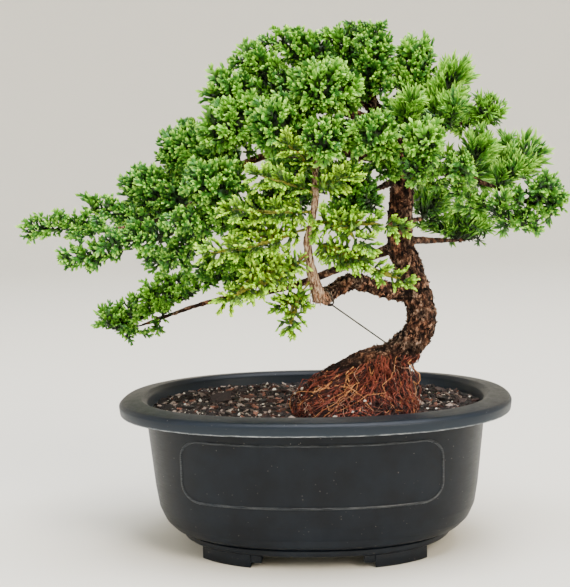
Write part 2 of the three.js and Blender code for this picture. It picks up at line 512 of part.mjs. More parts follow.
// A leafy tuft along a line: a slim bare stalk, then a core whose every facet is drawn out to the
// point of one shoot. reach is how far the shoots stand from the line.
class Tuft {
  constructor(root, via, tip, reach, bare, seed) {
    this.line = new THREE.QuadraticBezierCurve3(root, via, tip);
    this.reach = reach;
    this.bare = bare;
    this.seed = seed;
    const plane = new THREE.Vector3().crossVectors(via.clone().sub(root), tip.clone().sub(via));
    if (plane.length() < 1) plane.crossVectors(tip.clone().sub(root), new THREE.Vector3(0.2, 1, 0.1));
    this.across = plane.normalize();
    this.core = Math.max(SLIM_CORE * reach, reach - SHOOT_LENGTH);
    this.sides = Math.max(3, Math.round((2 * Math.PI * this.core) / FACET));
    const leafy = this.line.getLength() * (1 - bare);
    this.steps = Math.max(2, Math.round(leafy / FACET_STEP));
  }

  // Rows of the net: the stalk's two ends, then the core's rows up to the tip
  get rows() {
    return this.steps + 1;
  }

  shareOf(row) {
    return row === 0 ? 0 : Math.min(1, this.bare + ((1 - this.bare) * (row - 1)) / this.steps);
  }

  // How full the tuft is at a row: 0 on the stalk, 1 where it is thickest
  fullness(row) {
    if (row < 2) return 0;
    return Math.sin(Math.PI * (0.2 + (0.56 * (row - 1)) / this.steps)) ** 0.6;
  }

  place(row, side, grow, clip) {
    const axis = this.line.getPointAt(this.shareOf(row));
    const along = this.line.getTangentAt(this.shareOf(row));
    const angle = ((side + row / 2) / this.sides) * 2 * Math.PI;
    const out = this.across.clone().multiplyScalar(Math.cos(angle))
      .addScaledVector(new THREE.Vector3().crossVectors(along, this.across), Math.sin(angle));
    const lumps = 1 + 0.2 * grain(row, side, this.seed);
    const radius = Math.max(STALK_RADIUS, this.core * this.fullness(row) * lumps);
    const point = axis.clone().addScaledVector(out, radius);
    const held = row < 2 ? point : clip(axis, point);
    if (held.distanceTo(axis) < STALK_RADIUS) held.copy(axis).addScaledVector(out, STALK_RADIUS);
    return held.addScaledVector(out, grow);
  }

  // The point of the shoot on one facet between a row and the next
  shoot(a, b, c, row, grow, clip, random) {
    const share = (this.shareOf(row) + this.shareOf(row + 1)) / 2;
    const centre = new THREE.Vector3().add(a).add(b).add(c).divideScalar(3);
    const along = this.line.getTangentAt(share);
    const out = centre.clone().sub(this.line.getPointAt(share));
    out.addScaledVector(along, -out.dot(along));
    const length = (this.reach - this.core) * (0.85 + 0.45 * random());
    const forward = row === this.rows ? 1.2 : 0.5;
    const wander = new THREE.Vector3(random() - 0.5, random() - 0.5, random() - 0.3).multiplyScalar(0.3);
    const direction = out.normalize().multiplyScalar(0.8).addScaledVector(along, forward).add(wander);
    const point = clip(centre, centre.clone().addScaledVector(direction.normalize(), length));
    return point.addScaledVector(direction, grow * 4);
  }

  solid(grow, clip) {
    const random = seeded(this.seed * 977 + 5);
    const tip = this.line.getPointAt(1);
    const ahead = this.line.getTangentAt(1);
    const end = tip.clone().addScaledVector(ahead, this.core * 0.4 + grow);
    const middle = (row) => (row === 0 ? this.line.getPointAt(0) : end);
    const place = (row, side) => this.place(row, side, grow, clip);
    const corners = net(this.rows, this.sides, place, middle).toNonIndexed().getAttribute('position');
    const corner = (i) => new THREE.Vector3().fromBufferAttribute(corners, i);
    const facets = 2 * this.rows * this.sides;
    const vertices = [];
    for (let face = 0; face < corners.count / 3; face += 1) {
      const [a, b, c] = [corner(face * 3), corner(face * 3 + 1), corner(face * 3 + 2)];
      // The net's facets go row by row along each side in turn, then round its foot and its end
      const row = face < facets ? Math.floor((face % (2 * this.rows)) / 2) : this.rows;
      const foot = face >= facets && face < facets + this.sides;
      if (row > 0 && !foot) {
        const point = this.shoot(a, b, c, row, grow, clip, random);
        vertices.push(a, b, point, b, c, point, c, a, point);
      } else {
        vertices.push(a, b, c);
      }
    }
    return solidOf(mergeVertices(new THREE.BufferGeometry().setFromPoints(vertices), 1e-4));
  }
}

// A spray: a main tuft seated on its limb, and any that fork from it
class Spray {
  constructor([name, limbName, via, tip, reach, ...forks], seed) {
    this.name = name;
    const limb = limbs[limbName];
    const [leaving, end] = [new THREE.Vector3(...via), new THREE.Vector3(...tip)];
    const foot = limb.curve.getPointAt(limb.nearest(leaving.clone().lerp(end, -0.5)));
    const leafy = (leaving.distanceTo(end) + 0.6 * reach) / foot.distanceTo(end);
    const bare = THREE.MathUtils.clamp(1 - leafy, 0.1, 0.6);
    const main = new Tuft(foot, leaving, end, reach, bare, seed * 10);
    this.tufts = [main];
    for (let i = 0; i < forks.length; i += 2) {
      const from = main.line.getPointAt(bare + 0.05);
      const to = new THREE.Vector3(...forks[i]);
      const bend = from.clone().lerp(to, 0.5).addScaledVector(main.line.getTangentAt(bare), 3);
      this.tufts.push(new Tuft(from, bend, to, forks[i + 1], 0.2, seed * 10 + 1 + i));
    }
  }

  // Balls along the tufts that mark the room this spray takes up: [centre, radius]
  balls() {
    return this.tufts.flatMap((tuft) => [0.1, 0.28, 0.46, 0.64, 0.82, 1].map((share) => [
      tuft.line.getPointAt(share), tuft.reach * (share < tuft.bare ? 0.25 : 0.8)]));
  }

  solid(grow, clip) {
    return joined(this.tufts.map((tuft) => tuft.solid(grow, clip)));
  }
}

// How far a point lies outside the nearest of some balls
const outside = (point, balls) => balls.reduce(
  (least, [centre, radius]) => Math.min(least, centre.distanceTo(point) - radius), Infinity);

const sprays = SPRAYS.map((row, i) => new Spray(row, i + 1));
const sprayBalls = sprays.map((spray) => spray.balls());
const limbBalls = Object.values(limbs).flatMap((limb) => {
  const steps = Math.ceil(limb.curve.getLength() / 3);
  return Array.from({ length: steps + 1 }, (_, i) => [
    limb.curve.getPointAt(i / steps), limb.radiusAt(i / steps)]);
});

// Draws a shoot's point back to its root until the shoot is clear of wood and of other sprays
function clipFor(index) {
  const own = sprayBalls[index];
  const others = sprayBalls.filter((_, i) => i !== index).flat();
  const free = (point) => outside(point, limbBalls) > SPRAY_GAP
    && outside(point, others) > outside(point, own) + SPRAY_GAP;
  return (root, point) => {
    const drawn = point.clone();
    for (let share = 1; share > 0.2; share -= 0.1) {
      drawn.lerpVectors(root, point, share);
      if (free(drawn) && free(root.clone().lerp(drawn, 0.6))) break;
    }
    return drawn;
  };
}

// Sprays seated on the wood, each cut clear of the ones before it
function spraySolids(treeGrown) {
  const done = [];
  sprays.forEach((spray, index) => {
    const clip = clipFor(index);
    let solid = largestBody(spray.solid(0, clip).subtract(treeGrown));
    for (const other of done) {
      if (solid.intersect(other.solid).volume() > 0) {
        const room = other.spray.solid(CLEARANCE, other.clip).add(other.solid);
        solid = largestBody(solid.subtract(room));
      }
    }
    done.push({ spray, clip, solid });
  });
  return done.map(({ spray, solid }) => [spray.name, solid]);
}

const bonsai = new THREE.Group();

function add(name, solid, finish) {
  const material = new THREE.MeshStandardMaterial(finish);
  const mesh = new THREE.Mesh(geometryOf(solid), material);
  mesh.name = name;
  bonsai.add(mesh);
}

const tree = treeSolid(0);
const treeGrown = treeSolid(CLEARANCE);
add('pot', potSolid(), FINISH.pot);
add('soil', soilSolid(treeGrown), FINISH.soil);
add('tree_wood', tree, FINISH.wood);
add('guy_wire', guyWireSolid(treeGrown), FINISH.wire);
for (const [name, solid] of spraySolids(treeGrown)) {
  add(name, solid, FRESH.test(name) ? FINISH.freshNeedles : FINISH.needles);
}
bonsai.position.set(-ORIGIN_FROM_POT[0], -ORIGIN_FROM_POT[1], 0);

export default bonsai;
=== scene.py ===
"""Procumbens nana juniper bonsai in an oval footed training pot.

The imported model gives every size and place. The classes below dress it: the pot, the potting mix,
the wood, the fine roots, the foliage and the guy wire. Everything is in metres, in the model's frame.
"""

import logging
import math
import random
from dataclasses import dataclass, field
from enum import Enum
from typing import Any

import bmesh
import bpy
from mathutils import Matrix, Vector, noise
from mathutils.bvhtree import BVHTree


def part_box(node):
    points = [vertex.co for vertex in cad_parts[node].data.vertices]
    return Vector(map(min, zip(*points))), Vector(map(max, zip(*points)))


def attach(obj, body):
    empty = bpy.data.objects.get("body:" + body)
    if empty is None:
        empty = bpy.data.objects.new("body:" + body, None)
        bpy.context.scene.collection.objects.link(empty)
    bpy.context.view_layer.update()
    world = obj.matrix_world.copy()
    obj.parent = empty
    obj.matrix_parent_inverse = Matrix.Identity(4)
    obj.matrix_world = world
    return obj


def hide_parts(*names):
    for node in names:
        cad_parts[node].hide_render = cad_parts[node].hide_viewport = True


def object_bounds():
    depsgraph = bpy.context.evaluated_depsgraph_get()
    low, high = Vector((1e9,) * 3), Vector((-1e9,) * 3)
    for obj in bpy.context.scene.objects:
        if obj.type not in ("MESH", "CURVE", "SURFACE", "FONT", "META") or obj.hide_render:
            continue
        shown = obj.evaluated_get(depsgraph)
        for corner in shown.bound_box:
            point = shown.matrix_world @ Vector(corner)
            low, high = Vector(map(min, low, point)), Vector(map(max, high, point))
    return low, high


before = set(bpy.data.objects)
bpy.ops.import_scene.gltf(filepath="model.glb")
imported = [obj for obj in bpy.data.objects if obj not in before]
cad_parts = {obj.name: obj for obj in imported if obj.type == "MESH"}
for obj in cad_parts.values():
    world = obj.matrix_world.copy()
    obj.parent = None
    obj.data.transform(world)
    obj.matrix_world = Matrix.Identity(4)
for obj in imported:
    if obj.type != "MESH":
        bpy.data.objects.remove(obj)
CAD_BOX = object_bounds()
LOG = logging.getLogger("bonsai")
MM = 0.001
BODY = "root"
POT_LOW, POT_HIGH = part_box("pot")
POT_CENTRE = Vector(((POT_LOW.x + POT_HIGH.x) / 2, (POT_LOW.y + POT_HIGH.y) / 2, 0.0))

# Attributes that the meshes carry and the materials read
# leaf: painted lightness along each cord of needles, dark in its waists, pale on its beads and point
LEAF = "leaf"
RISE = "rise"
TONE = "tone"
STEM = "stem"
# The panel beads carry this mark, where the pot's material paints a highlight
BEAD_HIGHLIGHT = "bead_highlight"
ROOT = "root_share"
HEIGHT = "height"
OUTER = "outer"


class Season(Enum):
    """How young the needles of a spray are. Each value goes into the names of their materials."""

    MATURE = "needles"
    FRESH = "needles_fresh"


def from_pot(x: float, y: float, z: float) -> Vector:
    """Returns a point given in millimetres from the pot's centre, in the model's frame."""
    return POT_CENTRE + Vector((x, y, z)) * MM


def linear(code: str) -> tuple[float, float, float, float]:
    """Turns an sRGB hex colour into linear light.

    Args:
        code: the colour, such as "#2b2e33".

    Returns:
        Red, green, blue and an alpha of 1.
    """
    parts = [int(code[i : i + 2], 16) / 255 for i in (1, 3, 5)]
    light = [c / 12.92 if c <= 0.04045 else ((c + 0.055) / 1.055) ** 2.4 for c in parts]
    return (*light, 1.0)


def clamp(value: float, low: float = 0.0, high: float = 1.0) -> float:
    """Returns a number held between two others."""
    return max(low, min(high, value))


def scatter(rng: random.Random, spread: float) -> Vector:
    """Returns a random offset, as likely to go one way as another."""
    return Vector([rng.gauss(0, spread) for _ in range(3)])


def jitter(rng: random.Random, reach: float) -> Vector:
    """Returns a random offset of up to a reach along each axis."""
    return Vector([rng.uniform(-reach, reach) for _ in range(3)])


def set_up(
    node: bpy.types.Node,
    settings: dict[str | int, Any] | None = None,
    links: dict[str | int, bpy.types.Node | bpy.types.NodeSocket] | None = None,
) -> None:
    """Gives a node its settings and links.

    Args:
        node: the node.
        settings: values of inputs, by name or number, and of the node's own properties, by name.
        links: what feeds each input. A node stands for its first output.
    """
    for name, value in (settings or {}).items():
        if isinstance(name, int) or name in node.inputs:
            node.inputs[name].default_value = value
        else:
            setattr(node, name, value)
    for name, source in (links or {}).items():
        socket = source.outputs[0] if isinstance(source, bpy.types.Node) else source
        node.id_data.links.new(socket, node.inputs[name])


def add_node(
    tree: bpy.types.NodeTree,
    kind: str,
    settings: dict[str | int, Any] | None = None,
    links: dict[str | int, bpy.types.Node | bpy.types.NodeSocket] | None = None,
    stops: list[tuple[float, str]] | None = None,
) -> bpy.types.Node:
    """Adds a shader node with its settings and links.

    Args:
        tree: the material's node tree.
        kind: the node's type, without the ShaderNode that each starts with.
        settings: as in set_up.
        links: as in set_up.
        stops: the places and sRGB colours of a colour ramp.

    Returns:
        The new node.
    """
    node = tree.nodes.new("ShaderNode" + kind)
    set_up(node, settings, links)
    if stops:
        elements = node.color_ramp.elements
        while len(elements) < len(stops):
            elements.new(0.5)
        for element, (place, colour) in zip(elements, stops):
            element.position = place
            element.color = linear(colour)
    return node


def new_material(name: str) -> tuple[bpy.types.Material, bpy.types.NodeTree, bpy.types.Node]:
    """Starts a material.

    Args:
        name: what the real material is.

    Returns:
        The material, its node tree and its shader.
    """
    made = bpy.data.materials.new(name)
    made.use_nodes = True
    return made, made.node_tree, made.node_tree.nodes["Principled BSDF"]


def linked(name: str, data: bpy.types.ID) -> bpy.types.Object:
    """Returns a new object in the scene."""
    made = bpy.data.objects.new(name, data)
    bpy.context.scene.collection.objects.link(made)
    return made


def new_object(name: str, mesh: bpy.types.Mesh, materials: list[bpy.types.Material]) -> bpy.types.Object:
    """Puts a mesh into the scene as one piece.

    Args:
        name: the piece's name.
        mesh: its finished mesh, already in place.
        materials: its materials, in slot order.

    Returns:
        The new object.
    """
    for material in materials:
        mesh.materials.append(material)
    return linked(name, mesh)


def mesh_of(name: str, shape: bmesh.types.BMesh, smooth: bool = True) -> bpy.types.Mesh:
    """Turns a bmesh into a mesh and frees it.

    Args:
        name: the mesh's name.
        shape: the finished bmesh.
        smooth: whether its faces are shaded smooth.

    Returns:
        The mesh.
    """
    for face in shape.faces:
        face.smooth = smooth
    mesh = bpy.data.meshes.new(name)
    shape.to_mesh(mesh)
    shape.free()
    return mesh


def bmesh_of(mesh: bpy.types.Mesh) -> bmesh.types.BMesh:
    """Returns a mesh as a new bmesh."""
    shape = bmesh.new()
    shape.from_mesh(mesh)
    return shape


def surface_of(shape: bmesh.types.BMesh) -> BVHTree:
    """Turns a bmesh into a surface that can be searched, and frees it."""
    surface = BVHTree.FromBMesh(shape)
    shape.free()
    return surface


def baked(source: bpy.types.Object) -> bpy.types.Mesh:
    """Applies an object's modifiers or bevel and removes the object.

    Args:
        source: a mesh or curve object.

    Returns:
        The mesh that it made.
    """
    graph = bpy.context.evaluated_depsgraph_get()
    mesh = bpy.data.meshes.new_from_object(source.evaluated_get(graph), depsgraph=graph)
    bpy.data.objects.remove(source)
    return mesh


def merged_copy(node: str) -> bmesh.types.BMesh:
    """Returns a copy of a model node with the corners of its loose triangles joined."""
    shape = bmesh_of(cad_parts[node].data)
    bmesh.ops.remove_doubles(shape, verts=shape.verts[:], dist=1e-6)
    return shape


def even_out(shape: bmesh.types.BMesh, verts: list[bmesh.types.BMVert], factor: float, rounds: int) -> None:
    """Draws points towards their neighbours.

    Args:
        shape: the mesh.
        verts: its points that move.
        factor: how far they move in a round.
        rounds: how many rounds there are.
    """
    for _ in range(rounds):
        bmesh.ops.smooth_vert(
            shape, verts=verts, factor=factor, use_axis_x=True, use_axis_y=True, use_axis_z=True
        )


def even_skin(node: str, spacing: float, rounds: int) -> bmesh.types.BMesh:
    """Lays an even skin of small facets over a model node and smooths it.

    Args:
        node: the model's node.
        spacing: how large the skin's facets are.
        rounds: how many rounds of smoothing round its edges off.

    Returns:
        The skin.
    """
    holder = new_object("skin_blank", mesh_of("skin_blank", merged_copy(node)), [])
    skin = holder.modifiers.new("skin", "REMESH")
    skin.mode = "VOXEL"
    skin.voxel_size = spacing
    shape = bmesh_of(baked(holder))
    even_out(shape, shape.verts[:], 0.5, rounds)
    return shape


def spin_round(shape: bmesh.types.BMesh, steps: int, join: float) -> None:
    """Spins a profile once round the upright axis, and closes the seam.

    Args:
        shape: the profile, as points and edges.
        steps: how many steps the turn has.
        join: how close points are that become one.
    """
    bmesh.ops.spin(
        shape,
        geom=shape.verts[:] + shape.edges[:],
        cent=(0, 0, 0),
        axis=(0, 0, 1),
        dvec=(0, 0, 0),
        angle=2 * math.pi,
        steps=steps,
        use_merge=True,
    )
    bmesh.ops.remove_doubles(shape, verts=shape.verts[:], dist=join)


def mark(mesh: bpy.types.Mesh, name: str, value: float) -> None:
    """Gives all of a mesh's points one value of an attribute."""
    layer = mesh.attributes.new(name, "FLOAT", "POINT")
    layer.data.foreach_set("value", [value] * len(mesh.vertices))


def stamp(whole: bmesh.types.BMesh, pattern: bpy.types.Mesh, place: Matrix, marks: dict[str, float]) -> None:
    """Adds a copy of a pattern to a piece.

    Args:
        whole: the piece so far.
        pattern: the mesh to copy.
        place: the copy's place, turn and scale.
        marks: the copy's attributes and their values.
    """
    made = pattern.copy()
    made.transform(place)
    for name, value in marks.items():
        mark(made, name, value)
    whole.from_mesh(made)
    bpy.data.meshes.remove(made)


def finish_piece(piece: bpy.types.Object, slot: str, *nodes: str) -> None:
    """Seats a piece on the model and reports it.

    Args:
        piece: the finished object.
        slot: the name of a material slot; not used.
        nodes: the model's nodes that it stands for, if any.
    """
    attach(piece, BODY)
    if nodes:
        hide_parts(*nodes)
    LOG.info("%s: %d faces, for %s", piece.name, len(piece.data.polygons), ", ".join(nodes) or "nothing")


@dataclass(frozen=True)
class PotPlastic:
    """Injection-moulded charcoal polypropylene: semi-matt, finely grained, dusty and lightly scuffed."""

    name: str = "Charcoal_moulded_polypropylene"
    body: str = "#090d13"
    worn: str = "#10161e"
    sky_reflection: str = "#222a33"
    rub_and_highlight: str = "#c4cacf"
    dust: str = "#8b877e"
    # The mould's grain is about 0.1 mm wide and is drawn 0.5 mm wide, so that it shows
    grain: float = 0.5 * MM
    wear_patch: float = 22 * MM
    scratch: float = 9 * MM
    scratch_stretch: float = 14.0
    # One cell of the dust, with a speck up to a fifth as wide
    dust_cell: float = 3.2 * MM
    # The rim's outer face, which carries a painted reflection of the sky
    band_low: float = 89.8 * MM
    band_high: float = 98.5 * MM

    def material(self) -> bpy.types.Material:
        """Mixes the pot's plastic: dust specks, scratches in its roughness, a painted reflection of the sky
        on the rim's outer face, a pale line along the rim's lower edge that is partly worn and partly a
        painted highlight, and a painted highlight along the panel beads.

        Returns:
            The pot's material.
        """
        made, tree, shader = new_material(self.name)
        place = add_node(tree, "TexCoord").outputs["Object"]
        clouds = add_node(
            tree,
            "TexNoise",
            {"Scale": 1 / self.wear_patch, "Detail": 6.0, "Roughness": 0.65},
            {"Vector": place},
        )
        tone = add_node(
            tree, "ValToRGB", links={"Fac": clouds}, stops=[(0.38, self.body), (0.66, self.worn)]
        )
        stretched = add_node(
            tree, "Mapping", {"Scale": (1.0, 1.0, self.scratch_stretch)}, {"Vector": place}
        )
        scratches = add_node(
            tree,
            "TexNoise",
            {"Scale": 1 / self.scratch, "Detail": 8.0, "Roughness": 0.8},
            {"Vector": stretched},
        )
        speck = add_node(
            tree, "TexVoronoi", {"Scale": 1 / self.dust_cell, "Randomness": 1.0}, {"Vector": place}
        )
        speck_size = add_node(
            tree, "Math", {"operation": "MULTIPLY_ADD", 1: 0.13, 2: -0.02}, {0: speck.outputs["Color"]}
        )
        speck_mask = add_node(tree, "Math", {"operation": "LESS_THAN"}, {0: speck, 1: speck_size})
        dusty = add_node(tree, "Math", {"operation": "MULTIPLY", 1: 0.45}, {0: speck_mask})
        colour = add_node(tree, "Mix", {"data_type": "RGBA", 7: linear(self.dust)}, {0: dusty, 6: tone})
        rough = add_node(
            tree,
            "MapRange",
            {"From Min": 0.3, "From Max": 0.7, "To Min": 0.34, "To Max": 0.5},
            {"Value": scratches},
        )
        fine = add_node(tree, "TexNoise", {"Scale": 1 / self.grain, "Detail": 2.0}, {"Vector": place})
        bump = add_node(tree, "Bump", {"Strength": 0.12, "Distance": 0.1 * MM}, {"Height": fine})
        split = add_node(tree, "SeparateXYZ", links={"Vector": place})
        level = add_node(
            tree,
            "MapRange",
            {"From Min": self.band_low, "From Max": self.band_high},
            {"Value": split.outputs["Z"]},
        )
        # Painted reflection: the rim's outer face is lightened towards blue-grey, as if it reflected the sky
        reflection_band = add_node(
            tree,
            "ValToRGB",
            links={"Fac": level},
            stops=[(0.0, "#000000"), (0.08, "#ffffff"), (0.7, "#c8c8c8"), (1.0, "#202020")],
        )
        rim_reflecting = add_node(
            tree, "Mix", {"data_type": "RGBA", 7: linear(self.sky_reflection)}, {0: reflection_band, 6: colour.outputs[2]}
        )
        # A pale line in patches along the skirt's lower edge: partly a worn parting line, partly a painted
        # highlight
        edge = add_node(
            tree,
            "ValToRGB",
            links={"Fac": level},
            stops=[(0.03, "#000000"), (0.06, "#ffffff"), (0.12, "#ffffff"), (0.2, "#000000")],
        )
        patchy = add_node(
            tree,
            "MapRange",
            {"From Min": 0.46, "From Max": 0.6, "To Min": 0.05, "To Max": 0.6},
            {"Value": scratches},
        )
        line_rub_and_highlight = add_node(tree, "Math", {"operation": "MULTIPLY"}, {0: edge, 1: patchy})
        rim_rub_and_highlight = add_node(
            tree,
            "Mix",
            {"data_type": "RGBA", 7: linear(self.rub_and_highlight)},
            {0: line_rub_and_highlight, 6: rim_reflecting.outputs[2]},
        )
        # Painted highlight: the panel beads' crests are lightened in patches, as if they caught the light
        raised = add_node(tree, "Attribute", {"attribute_name": BEAD_HIGHLIGHT}).outputs["Fac"]
        highlight_patches = add_node(
            tree,
            "MapRange",
            {"From Min": 0.42, "From Max": 0.68, "To Min": 0.01, "To Max": 0.13},
            {"Value": scratches},
        )
        bead_highlight_mask = add_node(tree, "Math", {"operation": "MULTIPLY"}, {0: raised, 1: highlight_patches})
        bead_highlighted = add_node(
            tree,
            "Mix",
            {"data_type": "RGBA", 7: linear(self.rub_and_highlight)},
            {0: bead_highlight_mask, 6: rim_rub_and_highlight.outputs[2]},
        )
        set_up(
            shader,
            {"IOR": 1.49, "Specular IOR Level": 0.16},
            {"Base Color": bead_highlighted.outputs[2], "Roughness": rough, "Normal": bump},
        )
        return made


@dataclass(frozen=True)
class JuniperBark:
    """Living juniper bark: lifted flakes of pale grey-brown over red-brown, near black in the cracks, where
    the dark is partly painted shade.
    """

    name: str = "Flaking_juniper_bark"
    # The darkest colour is partly the dark inner bark and partly painted shade in the hollows; the edge
    # colours are partly pale flake edges and partly painted highlight
    crack_and_shade: str = "#050202"
    under: str = "#1f120c"
    flake: str = "#45352b"
    edge: str = "#a88d79"
    red_flake: str = "#543426"
    red_edge: str = "#b6805f"
    stem_dark: str = "#2c1910"
    stem_skin: str = "#86644e"
    stem_pale: str = "#dcc2a6"
    root_red: str = "#2a140f"
    flake_width: float = 1.3 * MM
    flake_lift: float = 1.1 * MM
    # Patches where the outer bark is gone and the red bark below it shows
    red_patch: float = 13 * MM
    # Bark fibres are about 0.3 mm wide and are drawn 1.2 mm wide, so that they show
    fibre: float = 1.2 * MM

    def material(self) -> bpy.types.Material:
        """Mixes the bark: rough on the limbs, smooth and tan on the young stem, red-brown at the roots.

        Returns:
            The wood's material.
        """
        made, tree, shader = new_material(self.name)
        place = add_node(tree, "TexCoord").outputs["Object"]
        height = add_node(tree, "Attribute", {"attribute_name": HEIGHT}).outputs["Fac"]
        upright = add_node(tree, "Mapping", {"Scale": (1.0, 1.0, 0.5)}, {"Vector": place})
        flakes = add_node(
            tree,
            "TexNoise",
            {"Scale": 1 / self.flake_width, "Detail": 8.0, "Roughness": 0.75},
            {"Vector": upright},
        )
        # Lower places of the relief come out darker, as painted shade, and the highest flakes paler, as
        # painted highlight
        raised = add_node(tree, "Math", {"operation": "MULTIPLY_ADD", 1: 0.5}, {0: height, 2: flakes})
        grey_bark = add_node(
            tree,
            "ValToRGB",
            links={"Fac": raised},
            stops=[(0.56, self.crack_and_shade), (0.7, self.under), (0.82, self.flake), (0.98, self.edge)],
        )
        red_bark = add_node(
            tree,
            "ValToRGB",
            links={"Fac": raised},
            stops=[(0.56, self.crack_and_shade), (0.7, self.under), (0.82, self.red_flake), (0.98, self.red_edge)],
        )
        patches = add_node(
            tree,
            "TexNoise",
            {"Scale": 1 / self.red_patch, "Detail": 3.0, "Roughness": 0.6},
            {"Vector": place},
        )
        redness = add_node(tree, "MapRange", {"From Min": 0.4, "From Max": 0.6}, {"Value": patches})
        bark = add_node(tree, "Mix", {"data_type": "RGBA"}, {0: redness, 6: grey_bark, 7: red_bark})
        drawn = add_node(tree, "Mapping", {"Scale": (1.0, 1.0, 0.12)}, {"Vector": place})
        fibres = add_node(
            tree, "TexNoise", {"Scale": 1 / self.fibre, "Detail": 6.0, "Roughness": 0.7}, {"Vector": drawn}
        )
        split = add_node(tree, "Math", {"operation": "MULTIPLY_ADD", 1: 0.4}, {0: flakes, 2: fibres})
        smooth_skin = add_node(
            tree,
            "ValToRGB",
            links={"Fac": split},
            stops=[(0.58, self.stem_dark), (0.68, self.stem_skin), (0.84, self.stem_pale)],
        )
        root_skin = add_node(
            tree, "ValToRGB", links={"Fac": flakes}, stops=[(0.42, self.crack_and_shade), (0.72, self.root_red)]
        )
        stem = add_node(tree, "Attribute", {"attribute_name": STEM}).outputs["Fac"]
        root = add_node(tree, "Attribute", {"attribute_name": ROOT}).outputs["Fac"]
        with_stem = add_node(
            tree, "Mix", {"data_type": "RGBA"}, {0: stem, 6: bark.outputs[2], 7: smooth_skin}
        )
        with_root = add_node(
            tree, "Mix", {"data_type": "RGBA"}, {0: root, 6: with_stem.outputs[2], 7: root_skin}
        )
        bump = add_node(tree, "Bump", {"Strength": 1.0, "Distance": self.flake_lift}, {"Height": flakes})
        set_up(
            shader,
            {"Roughness": 0.8, "IOR": 1.5, "Specular IOR Level": 0.15},
            {"Base Color": with_root.outputs[2], "Normal": bump},
        )
        return made


@dataclass(frozen=True)
class FineRootSkin:
    """Thin root skin, slightly waxy: dead roots near black, live ones red-brown, young tips pale tan."""

    name: str
    dark: str
    light: str
    # How far one tone runs along a root, and its wrinkles, which are drawn twice as coarse as real
    drift: float = 4 * MM
    wrinkle: float = 0.6 * MM

    def material(self) -> bpy.types.Material:
        """Mixes the roots' skin, whose tone drifts along each root.

        Returns:
            The roots' material.
        """
        made, tree, shader = new_material(self.name)
        place = add_node(tree, "TexCoord").outputs["Object"]
        slow = add_node(
            tree, "TexNoise", {"Scale": 1 / self.drift, "Detail": 5.0, "Roughness": 0.75}, {"Vector": place}
        )
        colour = add_node(
            tree, "ValToRGB", links={"Fac": slow}, stops=[(0.36, self.dark), (0.66, self.light)]
        )
        fine = add_node(tree, "TexNoise", {"Scale": 1 / self.wrinkle, "Detail": 3.0}, {"Vector": place})
        bump = add_node(tree, "Bump", {"Strength": 0.4, "Distance": 0.2 * MM}, {"Height": fine})
        set_up(
            shader, {"Roughness": 0.5, "Specular IOR Level": 0.2}, {"Base Color": colour, "Normal": bump}
        )
        return made


OLD_ROOT = FineRootSkin("Old_root_skin", "#0c0404", "#381812")
LIVE_ROOT = FineRootSkin("Live_root_skin", "#280b07", "#9c4f3d")
GOLDEN_ROOT = FineRootSkin("Golden_root_skin", "#7a3c1c", "#dca066")
YOUNG_ROOT = FineRootSkin("Young_root_skin", "#8a5038", "#ecc6a8")


@dataclass(frozen=True)
class Grit:
    """A loose mineral or bark grain of the potting mix: each grain has a tone between three colours."""

    name: str
    dark: str
    middle: str
    pale: str
    roughness: float
    # About half a grain's width
    mottle: float = 1.6 * MM

    def material(self) -> bpy.types.Material:
        """Mixes the grain's surface, which is mottled and pitted.

        Returns:
            The grain's material.
        """
        made, tree, shader = new_material(self.name)
        place = add_node(tree, "TexCoord").outputs["Object"]
        tone = add_node(tree, "Attribute", {"attribute_name": TONE}).outputs["Fac"]
        mottle = add_node(
            tree, "TexNoise", {"Scale": 1 / self.mottle, "Detail": 6.0, "Roughness": 0.7}, {"Vector": place}
        )
        mixed = add_node(tree, "Math", {"operation": "MULTIPLY_ADD", 1: 0.45}, {0: mottle, 2: tone})
        colour = add_node(
            tree,
            "ValToRGB",
            links={"Fac": mixed},
            stops=[(0.25, self.dark), (0.65, self.middle), (1.0, self.pale)],
        )
        bump = add_node(tree, "Bump", {"Strength": 0.8, "Distance": 0.5 * MM}, {"Height": mottle})
        set_up(shader, {"Roughness": self.roughness}, {"Base Color": colour, "Normal": bump})
        return made


BARK_CHIP = Grit("Pine_bark_chip", "#110c0c", "#372b2a", "#94847a", 0.9)
ROTTEN_CHIP = Grit("Composted_red_bark_chip", "#1a0c09", "#3f2219", "#85594a", 0.9)
WET_FINES = Grit("Damp_peat_and_fines", "#0a0707", "#251d1d", "#7c6c64", 0.95)
PERLITE = Grit("Expanded_perlite", "#a59d93", "#d9d3c8", "#f4f0e8", 0.85)


